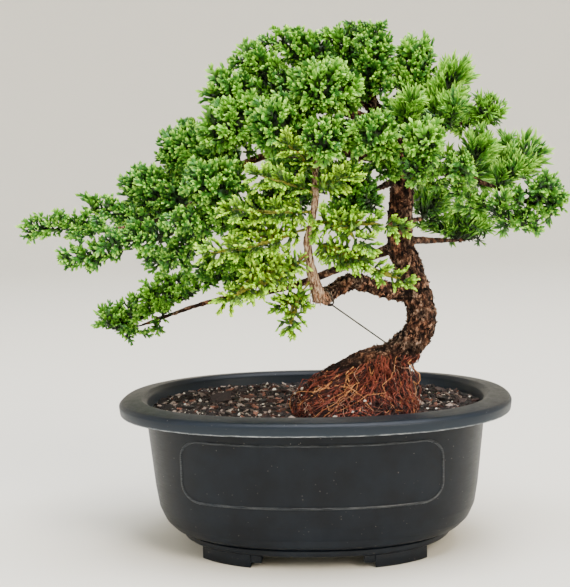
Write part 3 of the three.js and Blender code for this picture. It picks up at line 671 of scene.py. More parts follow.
@dataclass(frozen=True)
class JuniperNeedles:
    """Waxy juniper needles: dark where they leave the twig as painted shade, and pale at the point, partly
    their own paler tips and partly painted highlight.
    """

    season: Season
    deep: str
    body: str
    tip: str
    sunny: str
    dead: str = "#6e4a28"
    # How much of the paling is due to the place on a leaf, and how much to the place on the shoot
    leaf_share: float = 0.66
    rise_share: float = 0.42

    def material(self) -> bpy.types.Material:
        """Mixes the needles' green, which pales towards each leaf's point and each shoot's end, partly as
        their own paler tips and partly as painted highlight, and stays dark at the foot and deep in the spray
        as painted shade.

        Returns:
            The needles' material.
        """
        made, tree, shader = new_material("Waxy_juniper_" + self.season.value)
        leaf, rise, tone, outer = (
            add_node(tree, "Attribute", {"attribute_name": name}).outputs["Fac"]
            for name in (LEAF, RISE, TONE, OUTER)
        )
        up_shoot = add_node(tree, "Math", {"operation": "MULTIPLY", 1: self.rise_share}, {0: rise})
        on_leaf = add_node(
            tree, "Math", {"operation": "MULTIPLY_ADD", 1: self.leaf_share}, {0: leaf, 2: up_shoot}
        )
        # Painted shade: shoots deep in the spray, with a low outer value, stay dark
        outward = add_node(tree, "Math", {"operation": "MULTIPLY"}, {0: on_leaf, 1: outer})
        along = add_node(
            tree,
            "ValToRGB",
            links={"Fac": outward},
            stops=[(0.12, self.deep), (0.48, self.body), (0.98, self.tip)],
        )
        young = add_node(
            tree,
            "ValToRGB",
            links={"Fac": outward},
            stops=[(0.1, self.deep), (0.45, self.sunny), (0.9, self.tip)],
        )
        # A lower tone, also where painted shade lowers it, keeps more of the darker mature green
        lively = add_node(tree, "MapRange", {"From Min": 0.3, "From Max": 0.95}, {"Value": tone})
        green = add_node(tree, "Mix", {"data_type": "RGBA"}, {0: lively, 6: along, 7: young})
        # Only dead shoots have a tone of 0
        withered = add_node(tree, "Math", {"operation": "LESS_THAN", 1: 0.012}, {0: tone})
        colour = add_node(
            tree, "Mix", {"data_type": "RGBA", 7: linear(self.dead)}, {0: withered, 6: green.outputs[2]}
        )
        set_up(
            shader,
            {"Roughness": 0.45, "IOR": 1.45, "Specular IOR Level": 0.35},
            {"Base Color": colour.outputs[2]},
        )
        return made


@dataclass(frozen=True)
class TwigBark:
    """Young twig skin deep in the foliage: green-brown, mostly in shade; in the mature sprays its near-black
    green is painted shade.
    """

    season: Season
    dark: str
    light: str
    mottle: float = 1.5 * MM
    relief: float = 0.8 * MM

    def material(self) -> bpy.types.Material:
        """Mixes the twigs' skin, mottled and rough.

        Returns:
            The twigs' material.
        """
        made, tree, shader = new_material("Twig_bark_" + self.season.value)
        place = add_node(tree, "TexCoord").outputs["Object"]
        mottle = add_node(
            tree, "TexNoise", {"Scale": 1 / self.mottle, "Detail": 5.0, "Roughness": 0.7}, {"Vector": place}
        )
        colour = add_node(
            tree, "ValToRGB", links={"Fac": mottle}, stops=[(0.4, self.dark), (0.65, self.light)]
        )
        bump = add_node(tree, "Bump", {"Strength": 1.0, "Distance": self.relief}, {"Height": mottle})
        set_up(shader, {"Roughness": 0.9}, {"Base Color": colour, "Normal": bump})
        return made


@dataclass(frozen=True)
class AnnealedWire:
    """Dark annealed tying wire: dull grey with brown oxide."""

    name: str = "Annealed_tying_wire"
    dark: str = "#2c2926"
    light: str = "#6b625a"
    oxide: float = 2 * MM

    def material(self) -> bpy.types.Material:
        """Mixes the wire's surface, with brown patches of oxide.

        Returns:
            The wire's material.
        """
        made, tree, shader = new_material(self.name)
        place = add_node(tree, "TexCoord").outputs["Object"]
        oxide = add_node(tree, "TexNoise", {"Scale": 1 / self.oxide, "Detail": 4.0}, {"Vector": place})
        colour = add_node(
            tree, "ValToRGB", links={"Fac": oxide}, stops=[(0.4, self.dark), (0.65, self.light)]
        )
        set_up(shader, {"Metallic": 0.85, "Roughness": 0.5}, {"Base Color": colour})
        return made


@dataclass
class TrainingPot:
    """The oval pot: a spun profile drawn out to an oval, with panel beads, feet and drainage holes."""

    wall: float = 2.5 * MM
    oval_power: float = 2.3
    steps: int = 144
    edge_round: float = 0.9 * MM
    sharp_angle: float = math.radians(32)
    panel_half: float = 82 * MM
    panel_low: float = 41.5 * MM
    panel_high: float = 81.5 * MM
    panel_corner: float = 12 * MM
    corner_steps: int = 8
    run_steps: int = 24
    bead_radius: float = 0.85 * MM
    bead_sink: float = 0.2 * MM
    foot_height: float = 8 * MM
    foot_depth: float = 13 * MM
    foot_rise: float = 1.2 * MM
    foot_round: float = 0.6 * MM
    # An edge of a foot that turns by more than this is rounded
    foot_corner: float = 1.0
    foot_span: tuple[float, float] = (39 * MM, 72 * MM)
    toe_span: tuple[float, float] = (32 * MM, 39 * MM)
    toe_bottom: float = 3.5 * MM
    drain_radius: float = 9 * MM
    drain_depth: float = 20 * MM
    drain_offset: float = 36 * MM
    # Three places on the outer wall: half length and height, in millimetres
    base: tuple[float, float] = (87, 8)
    belly: tuple[float, float] = (107.5, 42)
    neck: tuple[float, float] = (112.5, 90)
    # The wall from the base's middle out, up, over the rim and down inside, likewise
    profile: tuple[tuple[float, float], ...] = (
        (0, 8), base, (89.5, 9.6), (89.5, 12.4), (88.6, 13.2), (91, 13.7), (96.5, 15.6), (101.5, 20.2),
        (105.3, 28.5), belly, neck, (116, 94.5), (127, 94.5), (126.8, 90.3), (129.2, 90.3), (130, 96.6),
        (127.6, 98.6), (115, 100), (111.6, 97.5), (110, 90), (105, 42), (99, 22), (84, 10.5), (0, 10.5),
    )
    # The corners of the profile that stay sharp, by number: the groove over the base band
    sharp: tuple[int, ...] = (3, 4)
    # How much narrower than long the oval is at a height, both in millimetres
    narrowing: tuple[tuple[float, float], ...] = (
        (8, 13.5), (13.3, 14), (16, 18), (20, 22), (28, 24.4), (42, 25),
    )

    def narrower(self, z: float) -> float:
        """Compares the oval's half width with its half length.

        Args:
            z: the height.

        Returns:
            How much shorter the half width is there, in metres.
        """
        pairs = self.narrowing
        level = clamp(z / MM, pairs[0][0], pairs[-1][0])
        for (low, a), (high, b) in zip(pairs, pairs[1:]):
            if level <= high:
                return (a + (b - a) * (level - low) / (high - low)) * MM
        return pairs[-1][1] * MM

    def oval(self, half: float, angle: float, z: float) -> Vector:
        """Finds a point of the oval.

        Args:
            half: the oval's half length.
            angle: the point's bearing from the middle.
            z: the height.

        Returns:
            The point.
        """
        power = 2 / self.oval_power
        along = math.copysign(abs(math.cos(angle)) ** power, math.cos(angle))
        across = math.copysign(abs(math.sin(angle)) ** power, math.sin(angle))
        return POT_CENTRE + Vector((half * along, max(half - self.narrower(z), 0.0) * across, z))

    def wall_half(self, z: float) -> float:
        """Returns the outer wall's half length between the belly and the neck."""
        (belly, low), (neck, high) = self.belly, self.neck
        return (belly + (neck - belly) * (z / MM - low) / (high - low)) * MM

    def depth_at(self, half: float, z: float, x: float) -> float:
        """Returns how far the oval's side stands out at a place along its length."""
        share = max(0.0, 1 - abs(x / half) ** self.oval_power)
        return (half - self.narrower(z)) * share ** (1 / self.oval_power)

    def shell(self) -> bmesh.types.BMesh:
        """Makes the moulding: the profile with eased edges, spun and drawn out to the oval.

        Returns:
            The moulding, without its beads, feet and holes.
        """
        shape = bmesh.new()
        corners = [shape.verts.new((x * MM, 0, z * MM)) for x, z in self.profile]
        for a, b in zip(corners, corners[1:]):
            shape.edges.new((a, b))
        eased = [v for i, v in enumerate(corners) if 0 < i < len(corners) - 1 and i not in self.sharp]
        bmesh.ops.bevel(
            shape, geom=eased, offset=self.edge_round, affect="VERTICES", segments=3, profile=0.5, material=-1
        )
        spin_round(shape, self.steps, 1e-6)
        for vert in shape.verts:
            radius = math.hypot(vert.co.x, vert.co.y)
            vert.co = self.oval(radius, math.atan2(vert.co.y, vert.co.x), vert.co.z)
        bmesh.ops.recalc_face_normals(shape, faces=shape.faces[:])
        return shape

    def foot(self, span: tuple[float, float], bottom: float, sign: Vector) -> bpy.types.Mesh:
        """Makes a bar under the base along one quarter of its outline.

        Args:
            span: where the bar starts and ends along the pot's length.
            bottom: the height of its underside.
            sign: which quarter it is in, as signs of x and y.

        Returns:
            The bar's mesh, with eased edges.
        """
        shape = bmesh.new()
        bmesh.ops.create_cube(shape, size=1.0)
        lengthwise = [e for e in shape.edges if abs((e.verts[0].co - e.verts[1].co).x) > 0.5]
        bmesh.ops.subdivide_edges(shape, edges=lengthwise, cuts=8, use_grid_fill=True)
        for vert in shape.verts:
            x = span[0] + (span[1] - span[0]) * (vert.co.x + 0.5)
            outer = self.depth_at(self.base[0] * MM, self.foot_height, x)
            y = outer - self.foot_depth * (0.5 + vert.co.y)
            z = bottom + (self.foot_height + self.foot_rise - bottom) * (vert.co.z + 0.5)
            vert.co = POT_CENTRE + Vector((sign.x * x, sign.y * y, z))
        bmesh.ops.recalc_face_normals(shape, faces=shape.faces[:])
        rims = [e for e in shape.edges if len(e.link_faces) == 2 and e.calc_face_angle() > self.foot_corner]
        bmesh.ops.bevel(
            shape,
            geom=rims,
            offset=self.foot_round,
            affect="EDGES",
            segments=2,
            profile=0.5,
            material=-1,
            clamp_overlap=True,
        )
        return mesh_of("foot", shape)

    def bead(self, side: int) -> bpy.types.Mesh:
        """Makes the raised frame line round one long side's panel.

        Args:
            side: -1 for the near side, 1 for the far one.

        Returns:
            The line's mesh, marked for the painted highlight along its crest.
        """
        line = bpy.data.curves.new("bead", "CURVE")
        line.dimensions = "3D"
        line.bevel_depth = self.bead_radius
        line.bevel_resolution = 2
        path = line.splines.new("POLY")
        outline = self.panel_outline()
        path.points.add(len(outline) - 1)
        for point, (x, z) in zip(path.points, outline):
            y = self.depth_at(self.wall_half(z), z, x) - self.bead_sink
            point.co = (*(POT_CENTRE + Vector((x, side * y, z))), 1)
        path.use_cyclic_u = True
        mesh = baked(linked("bead", line))
        mark(mesh, BEAD_HIGHLIGHT, 1.0)
        return mesh

    def panel_outline(self) -> list[tuple[float, float]]:
        """Works out the panel's outline, with four round corners.

        Returns:
            Its points' places along the pot and heights. The long runs have short steps, to follow the wall.
        """
        reach, corner = self.panel_half - self.panel_corner, self.panel_corner
        middle = (self.panel_low + self.panel_high) / 2
        rise = (self.panel_high - self.panel_low) / 2 - corner
        outline = []
        for quarter in range(4):
            sign_x = 1 if quarter in (0, 3) else -1
            sign_z = 1 if quarter in (0, 1) else -1
            for step in range(self.corner_steps + 1):
                angle = (quarter + step / self.corner_steps) * math.pi / 2
                x = sign_x * reach + corner * math.cos(angle)
                z = middle + sign_z * rise + corner * math.sin(angle)
                outline.append((x, z))
            x, z = outline[-1]
            if quarter in (0, 2):
                run = -2 * reach * sign_x
                outline += [(x + run * step / self.run_steps, z) for step in range(1, self.run_steps)]
        return outline

    def build(self, finish: PotPlastic) -> bpy.types.Object:
        """Makes the whole pot as one piece.

        Args:
            finish: the plastic that it is moulded in.

        Returns:
            The pot's object.
        """
        material = finish.material()
        shell = new_object("shell_blank", mesh_of("shell_blank", self.shell()), [material])
        cutters = [self.drain_cutter(offset) for offset in (-self.drain_offset, self.drain_offset)]
        for cutter in cutters:
            cut = shell.modifiers.new("drain", "BOOLEAN")
            cut.operation = "DIFFERENCE"
            cut.solver = "EXACT"
            cut.object = cutter
        whole = bmesh_of(baked(shell))
        for cutter in cutters:
            bpy.data.objects.remove(cutter)
        for side in (-1, 1):
            whole.from_mesh(self.bead(side))
            for end in (-1, 1):
                sign = Vector((end, side, 0))
                whole.from_mesh(self.foot(self.foot_span, 0.0, sign))
                whole.from_mesh(self.foot(self.toe_span, self.toe_bottom, sign))
        piece = new_object("training_pot", mesh_of("training_pot", whole), [material])
        piece.data.set_sharp_from_angle(angle=self.sharp_angle)
        finish_piece(piece, "pot_plastic", "pot")
        return piece

    def drain_cutter(self, offset: float) -> bpy.types.Object:
        """Makes a cylinder that drills one drainage hole through the floor.

        Args:
            offset: how far along the pot from its middle the hole is.

        Returns:
            The cylinder's object.
        """
        shape = bmesh.new()
        bmesh.ops.create_cone(
            shape,
            cap_ends=True,
            segments=32,
            radius1=self.drain_radius,
            radius2=self.drain_radius,
            depth=self.drain_depth,
            matrix=Matrix.Translation(POT_CENTRE + Vector((offset, 0, self.foot_height))),
        )
        return new_object("drain_cutter", mesh_of("drain_cutter", shape), [])


# Middle lines of the trunk, the lower branch and the young front stem, from the pot's centre in millimetres
TRUNK_LINE = (
    (30, -14, 92), (47, -12, 119), (66, -8, 135), (72, -5, 150), (64, 0, 181), (58, 3, 205), (60, 1, 240),
    (49, 2, 274), (34, 4, 304), (29, 2, 316),
)
LOWER_LINE = ((66, -2, 166), (51, -12, 168), (38, -22, 173), (27, -32, 177), (17, -40, 173), (8, -46, 167))
STEM_LINE = (
    (7, -47, 165), (5, -50, 174), (1, -56, 196), (0, -58, 206), (5, -57, 230), (6, -52, 248), (11, -42, 269),
)


@dataclass
class LimbLine:
    """The broken middle line of a limb."""

    points: tuple[tuple[float, float, float], ...]

    def stretches(self) -> list[tuple[Vector, Vector]]:
        """Returns the two ends of each straight stretch, in the model's frame."""
        places = [from_pot(*place) for place in self.points]
        return list(zip(places, places[1:]))

    def distance(self, point: Vector) -> float:
        """Measures how far a point is from the line.

        Args:
            point: a point in the model's frame.

        Returns:
            The distance to the nearest stretch.
        """
        nearest = math.inf
        for a, b in self.stretches():
            share = clamp((point - a).dot(b - a) / (b - a).length_squared)
            nearest = min(nearest, (a.lerp(b, share) - point).length)
        return nearest


@dataclass
class Wood:
    """Trunk, limbs, young front stem and root mound, rounded off from the model's faceted wood."""

    spacing: float = 1.25 * MM
    relief: float = 1.5 * MM
    sink: float = 0.45 * MM
    # The share of the relief on the young stem and on the thin limbs
    stem_relief: float = 0.45
    thin_relief: float = 0.25
    plate_length: float = 9 * MM
    lump: float = 3.6 * MM
    # How far from its middle line each limb's own bark reaches, and how far it then takes to change
    stem_half: float = 6.2 * MM
    stem_blend: float = 1.6 * MM
    trunk_half: float = 13 * MM
    lower_half: float = 8 * MM
    trunk_blend: float = 4 * MM
    # Where the roots' skin ends and the young stem's begins, with ragged edges
    mound_top: float = 130 * MM
    mound_blend: float = 10 * MM
    ragged: float = 5 * MM
    stem_foot: float = 164 * MM
    foot_blend: float = 4 * MM
    stem_fullness: float = 0.45 * MM
    trunk: LimbLine = field(default_factory=lambda: LimbLine(TRUNK_LINE))
    lower: LimbLine = field(default_factory=lambda: LimbLine(LOWER_LINE))
    stem: LimbLine = field(default_factory=lambda: LimbLine(STEM_LINE))

    def zones(self, place: Vector) -> tuple[float, float, float]:
        """Sorts a place on the wood by its bark.

        Args:
            place: a point of the wood's skin.

        Returns:
            How much it is the young stem's, the trunk's or lower branch's, and the roots', from 0 to 1.
        """
        stem = 1 - clamp((self.stem.distance(place) - self.stem_half) / self.stem_blend)
        stem *= clamp((place.z - self.stem_foot) / self.foot_blend + noise.noise(place / (3 * MM)))
        off_trunk = self.trunk.distance(place) - self.trunk_half
        off_lower = self.lower.distance(place) - self.lower_half
        trunk = 1 - clamp(min(off_trunk, off_lower) / self.trunk_blend)
        uneven = self.ragged * noise.noise(place / (4 * MM))
        root = clamp((self.mound_top - place.z + uneven) / self.mound_blend)
        return stem, trunk, root

    def build(self, finish: JuniperBark) -> bpy.types.Object:
        """Makes the wood as one piece: an even skin over the model's solid, smoothed, then roughened as bark.

        Args:
            finish: its bark.

        Returns:
            The wood's object.
        """
        shape = even_skin("tree_wood", self.spacing, 4)
        stem_layer = shape.verts.layers.float.new(STEM)
        root_layer = shape.verts.layers.float.new(ROOT)
        height_layer = shape.verts.layers.float.new(HEIGHT)
        shape.normal_update()
        moved = []
        for vert in shape.verts:
            stem, trunk, root = self.zones(vert.co)
            height = self.height_at(vert.co)
            vert[stem_layer] = stem
            vert[root_layer] = root
            vert[height_layer] = 0.5 + 0.5 * height
            share = self.thin_relief + (1 - self.thin_relief) * max(trunk, root)
            if stem > 0.5:
                share = self.stem_relief
            lift = share * self.relief * height - self.sink + self.stem_fullness * stem
            moved.append(vert.co + vert.normal * lift)
        for vert, place in zip(shape.verts, moved):
            vert.co = place
        piece = new_object("juniper_wood", mesh_of("juniper_wood", shape), [finish.material()])
        finish_piece(piece, "bark", "tree_wood")
        return piece

    def height_at(self, place: Vector) -> float:
        """Works out the bark's relief: long plates, then small lumps on them.

        Args:
            place: a point of the wood's skin.

        Returns:
            The bark's height there, from -1 to 1.
        """
        along = Vector((place.x, place.y, place.z * 0.6)) / self.plate_length
        plates = noise.ridged_multi_fractal(along * 1.7, 0.9, 2.1, 4, 1.0, 2.0) - 1.0
        lumps = noise.fractal(place / self.lump, 0.8, 2.0, 3)
        return clamp(0.6 * plates + 0.7 * lumps, -1.0)


@dataclass
class BarkFlakes:
    """Loose bark: flakes that lift off the trunk and the lower branch, and the shreds at the stem's foot."""

    count: int = 2600
    shreds: int = 34
    variants: int = 8
    seed: int = 12
    lines: tuple[LimbLine, ...] = (LimbLine(TRUNK_LINE), LimbLine(LOWER_LINE))
    # Each limb's share of the flakes, and how far off its middle line the search for its surface starts
    shares: tuple[float, ...] = (0.84, 0.16)
    reaches: tuple[float, ...] = (20.9 * MM, 13.3 * MM)
    lowest: float = 118 * MM
    flake_length: tuple[float, float] = (1.4 * MM, 3.4 * MM)
    flake_width: tuple[float, float] = (0.35, 0.7)
    flake_thickness: tuple[float, float] = (0.25 * MM, 0.5 * MM)
    # How far a flake's loose end lifts, and how thick it usually is, both for its length
    flake_lift: tuple[float, float] = (0.12, 0.34)
    flake_thinness: float = 0.12
    flake_sink: float = 0.15 * MM
    stem_foot: tuple[float, float, float] = (7, -48, 168)
    stem_radius: tuple[float, float] = (4.4 * MM, 6.6 * MM)
    shred_rise: tuple[float, float] = (-3 * MM, 5 * MM)
    shred_length: tuple[float, float] = (2 * MM, 4.6 * MM)
    shred_width: tuple[float, float] = (0.6 * MM, 1.4 * MM)
    shred_thickness: tuple[float, float] = (0.3 * MM, 0.6 * MM)

    def flake(self, rng: random.Random) -> bpy.types.Mesh:
        """Makes a torn flake, one unit long along x, lifted at one end and thin at both.

        Args:
            rng: the source of its unevenness.

        Returns:
            The flake's mesh.
        """
        shape = bmesh.new()
        bmesh.ops.create_cube(shape, size=1.0)
        lengthwise = [e for e in shape.edges if abs((e.verts[0].co - e.verts[1].co).x) > 0.5]
        bmesh.ops.subdivide_edges(shape, edges=lengthwise, cuts=1, use_grid_fill=True)
        lift = rng.uniform(*self.flake_lift) / self.flake_thinness
        for vert in shape.verts:
            along = vert.co.x + 0.5
            narrow = 1 - 0.75 * abs(2 * along - 1) ** 1.6
            vert.co.y *= narrow * rng.uniform(0.7, 1.2)
            vert.co.z = vert.co.z * (0.35 + 0.65 * narrow) + lift * along * along
            vert.co.x += rng.uniform(-0.06, 0.06)
        return mesh_of("flake", shape, smooth=False)

    def lay(
        self,
        whole: bmesh.types.BMesh,
        flake: bpy.types.Mesh,
        spot: Vector,
        normal: Vector,
        along: Vector,
        size: Vector,
        tone: float,
    ) -> None:
        """Adds one flake on the surface.

        Args:
            whole: what the flake is added to.
            flake: the flake's pattern.
            spot: where it lies.
            normal: the surface's normal.
            along: which way its length runs.
            size: its length, width and thickness.
            tone: how pale it is, from 0 to 1.
        """
        ahead = (along - normal * along.dot(normal)).normalized()
        turn = Matrix((ahead, normal.cross(ahead), normal)).transposed().to_4x4()
        place = Matrix.Translation(spot) @ turn @ Matrix.Diagonal((*size, 1))
        stamp(whole, flake, place, {HEIGHT: tone})

    def build(self, wood: bpy.types.Object, finish: bpy.types.Material) -> bpy.types.Object:
        """Makes all the loose bark as one piece.

        Args:
            wood: the finished wood that it lies on.
            finish: the bark's material.

        Returns:
            The flakes' object.
        """
        rng = random.Random(self.seed)
        surface = surface_of(bmesh_of(wood.data))
        flakes = [self.flake(rng) for _ in range(self.variants)]
        whole = bmesh.new()
        for line, share, reach in zip(self.lines, self.shares, self.reaches):
            for _ in range(int(self.count * share)):
                self.drop_flake(whole, line, reach, surface, flakes, rng)
        foot = from_pot(*self.stem_foot)
        measures = (self.shred_length, self.shred_width, self.shred_thickness)
        for i in range(self.shreds):
            angle = 2 * math.pi * i / self.shreds + rng.gauss(0, 0.2)
            out = Vector((math.cos(angle), math.sin(angle), 0))
            spot = foot + out * rng.uniform(*self.stem_radius) + Vector((0, 0, rng.uniform(*self.shred_rise)))
            along = Vector((0, 0, -1)) + out * rng.uniform(0.2, 1.2)
            size = Vector([rng.uniform(*measure) for measure in measures])
            self.lay(whole, rng.choice(flakes), spot + along * MM, out, along, size, rng.uniform(0.8, 1.4))
        piece = new_object("loose_bark", mesh_of("loose_bark", whole, smooth=False), [finish])
        finish_piece(piece, "bark")
        return piece

    def drop_flake(
        self,
        whole: bmesh.types.BMesh,
        line: LimbLine,
        reach: float,
        surface: BVHTree,
        flakes: list[bpy.types.Mesh],
        rng: random.Random,
    ) -> None:
        """Lays a flake at a random place on a limb, unless that is too low down.

        Args:
            whole: what the flake is added to.
            line: the limb's middle line.
            reach: how far off the line the search for the surface starts.
            surface: the wood's surface.
            flakes: the flakes to choose from.
            rng: the source of its place and size.
        """
        stretches = line.stretches()
        low, high = stretches[rng.randrange(len(stretches))]
        middle = low.lerp(high, rng.random())
        axis = (high - low).normalized()
        out = scatter(rng, 1)
        out = (out - axis * out.dot(axis)).normalized()
        spot, normal, _, _ = surface.ray_cast(middle + out * reach, -out, reach)
        if not spot or spot.z < self.lowest:
            return
        sway = Matrix.Rotation(rng.gauss(0, 0.8), 3, normal)
        along = sway @ (axis if rng.random() < 0.5 else -axis)
        length = rng.uniform(*self.flake_length)
        size = Vector((length, length * rng.uniform(*self.flake_width), rng.uniform(*self.flake_thickness)))
        tone = 0.9 * rng.random() ** 2
        self.lay(whole, rng.choice(flakes), spot - normal * self.flake_sink, normal, along, size, tone)


@dataclass
class RootGroup:
    """One sort of fine root: how many there are, how thick, and their skin.

    free is the share of them that arch clear of the mound. span is how much of the mound's height one
    covers, and sway how much it wanders sideways at each point.
    """

    skin: FineRootSkin
    count: int
    thin: float
    thick: float
    free: float
    span: tuple[float, float] = (0.6, 1.0)
    sway: float = 0.045
    points: int = 13


@dataclass
class RootMat:
    """The fine roots that run down over the mound, a few of them arching clear of it."""

    groups: tuple[RootGroup, ...] = (
        RootGroup(OLD_ROOT, 130, 0.35 * MM, 1.2 * MM, 0.03),
        RootGroup(LIVE_ROOT, 170, 0.25 * MM, 0.7 * MM, 0.08),
        RootGroup(GOLDEN_ROOT, 40, 0.25 * MM, 0.6 * MM, 0.25, (0.4, 0.9), 0.05),
        RootGroup(OLD_ROOT, 240, 0.15 * MM, 0.45 * MM, 0.15, (0.2, 0.5), 0.05, 7),
        RootGroup(LIVE_ROOT, 380, 0.15 * MM, 0.42 * MM, 0.2, (0.15, 0.45), 0.06, 7),
        RootGroup(YOUNG_ROOT, 90, 0.1 * MM, 0.26 * MM, 0.3, (0.15, 0.4), 0.06, 7),
    )
    highest: float = 127 * MM
    lowest: float = 90 * MM
    # How much lower the roots start on the mound's left side, where it falls away
    left_drop: float = 9 * MM
    # The mound's middle line from its crown to the soil, from the pot's centre in millimetres
    crown: tuple[float, float, float] = (45, -8, 131)
    foot: tuple[float, float, float] = (26, -31, 92)
    search: float = 75 * MM
    clearance: float = 0.1 * MM
    lift: tuple[float, float] = (0.1 * MM, 1.2 * MM)
    arch: float = 5.5 * MM
    # A root that drops less than this arches less
    full_drop: float = 20 * MM
    unevenness: float = 0.35 * MM
    seed: int = 4

    def middle(self, z: float) -> Vector:
        """Returns the mound's middle at a height."""
        crown, foot = from_pot(*self.crown), from_pot(*self.foot)
        share = (crown.z - z) / (crown.z - foot.z)
        return Vector((*crown.lerp(foot, share).xy, z))

    def skin(self, surface: BVHTree, z: float, angle: float) -> tuple[Vector, Vector] | None:
        """Finds the mound's surface at a height and a bearing.

        Args:
            surface: the wood's surface.
            z: the height.
            angle: the bearing from the mound's middle line.

        Returns:
            The point and the surface's normal there, or None past the wood.
        """
        out = Vector((math.cos(angle), math.sin(angle), 0))
        start = self.middle(z) + out * self.search
        hit, normal, _, _ = surface.ray_cast(start, -out, self.search)
        return (hit, normal) if hit else None

    def route(self, surface: BVHTree, rng: random.Random, group: RootGroup) -> list[Vector]:
        """Leads one root down over the mound.

        Args:
            surface: the wood's surface.
            rng: the source of its course.
            group: the sort of root that it is.

        Returns:
            Its points, from where it leaves the mound down to where it dives in.
        """
        free = rng.random() < group.free
        angle = rng.uniform(0, 2 * math.pi)
        highest = self.highest - self.left_drop * max(0.0, -math.cos(angle))
        drop = (highest - self.lowest) * rng.uniform(*group.span)
        top = rng.uniform(self.lowest + drop, highest)
        sway = rng.gauss(0, group.sway)
        lift = rng.uniform(*self.lift)
        phase = rng.uniform(0, 6)
        arch = self.arch * min(1.0, drop / self.full_drop) if free else 0.0
        places = []
        for step in range(group.points):
            share = step / (group.points - 1)
            found = self.skin(surface, top - drop * share, angle)
            sway = 0.8 * sway + rng.gauss(0, group.sway)
            angle += sway
            if not found:
                continue
            spot, normal = found
            wave = lift * max(-0.3, math.sin(5 * share + phase))
            off = self.clearance + arch * math.sin(math.pi * share) + wave
            places.append(spot + normal * off + Vector((0, 0, rng.gauss(0, self.unevenness))))
        return places

    def build(self, wood: bpy.types.Object) -> bpy.types.Object:
        """Makes every fine root as one piece.

        Args:
            wood: the finished wood that they run over.

        Returns:
            The roots' object.
        """
        rng = random.Random(self.seed)
        surface = surface_of(bmesh_of(wood.data))
        whole = bmesh.new()
        for index, group in enumerate(self.groups):
            first = len(whole.faces)
            whole.from_mesh(self.tubes(surface, group, rng))
            whole.faces.ensure_lookup_table()
            for face in whole.faces[first:]:
                face.material_index = index
        materials = [group.skin.material() for group in self.groups]
        piece = new_object("fine_roots", mesh_of("fine_roots", whole), materials)
        finish_piece(piece, "bark")
        return piece

    def tubes(self, surface: BVHTree, group: RootGroup, rng: random.Random) -> bpy.types.Mesh:
        """Makes the roots of one sort, each thinner towards its end.

        Args:
            surface: the wood's surface.
            group: the sort of root.
            rng: the source of their courses and sizes.

        Returns:
            One mesh of them all.
        """
        lines = bpy.data.curves.new("fine_roots", "CURVE")
        lines.dimensions = "3D"
        lines.bevel_depth = 1.0
        lines.bevel_resolution = 0
        lines.use_fill_caps = True
        for _ in range(group.count):
            places = self.route(surface, rng, group)
            if len(places) < 4:
                continue
            radius = group.thin + (group.thick - group.thin) * rng.random() ** 2.2
            root = lines.splines.new("POLY")
            root.points.add(len(places) - 1)
            for j, (point, place) in enumerate(zip(root.points, places)):
                point.co = (*place, 1)
                point.radius = radius * (1 - 0.6 * j / len(places))
        return baked(linked("fine_roots", lines))


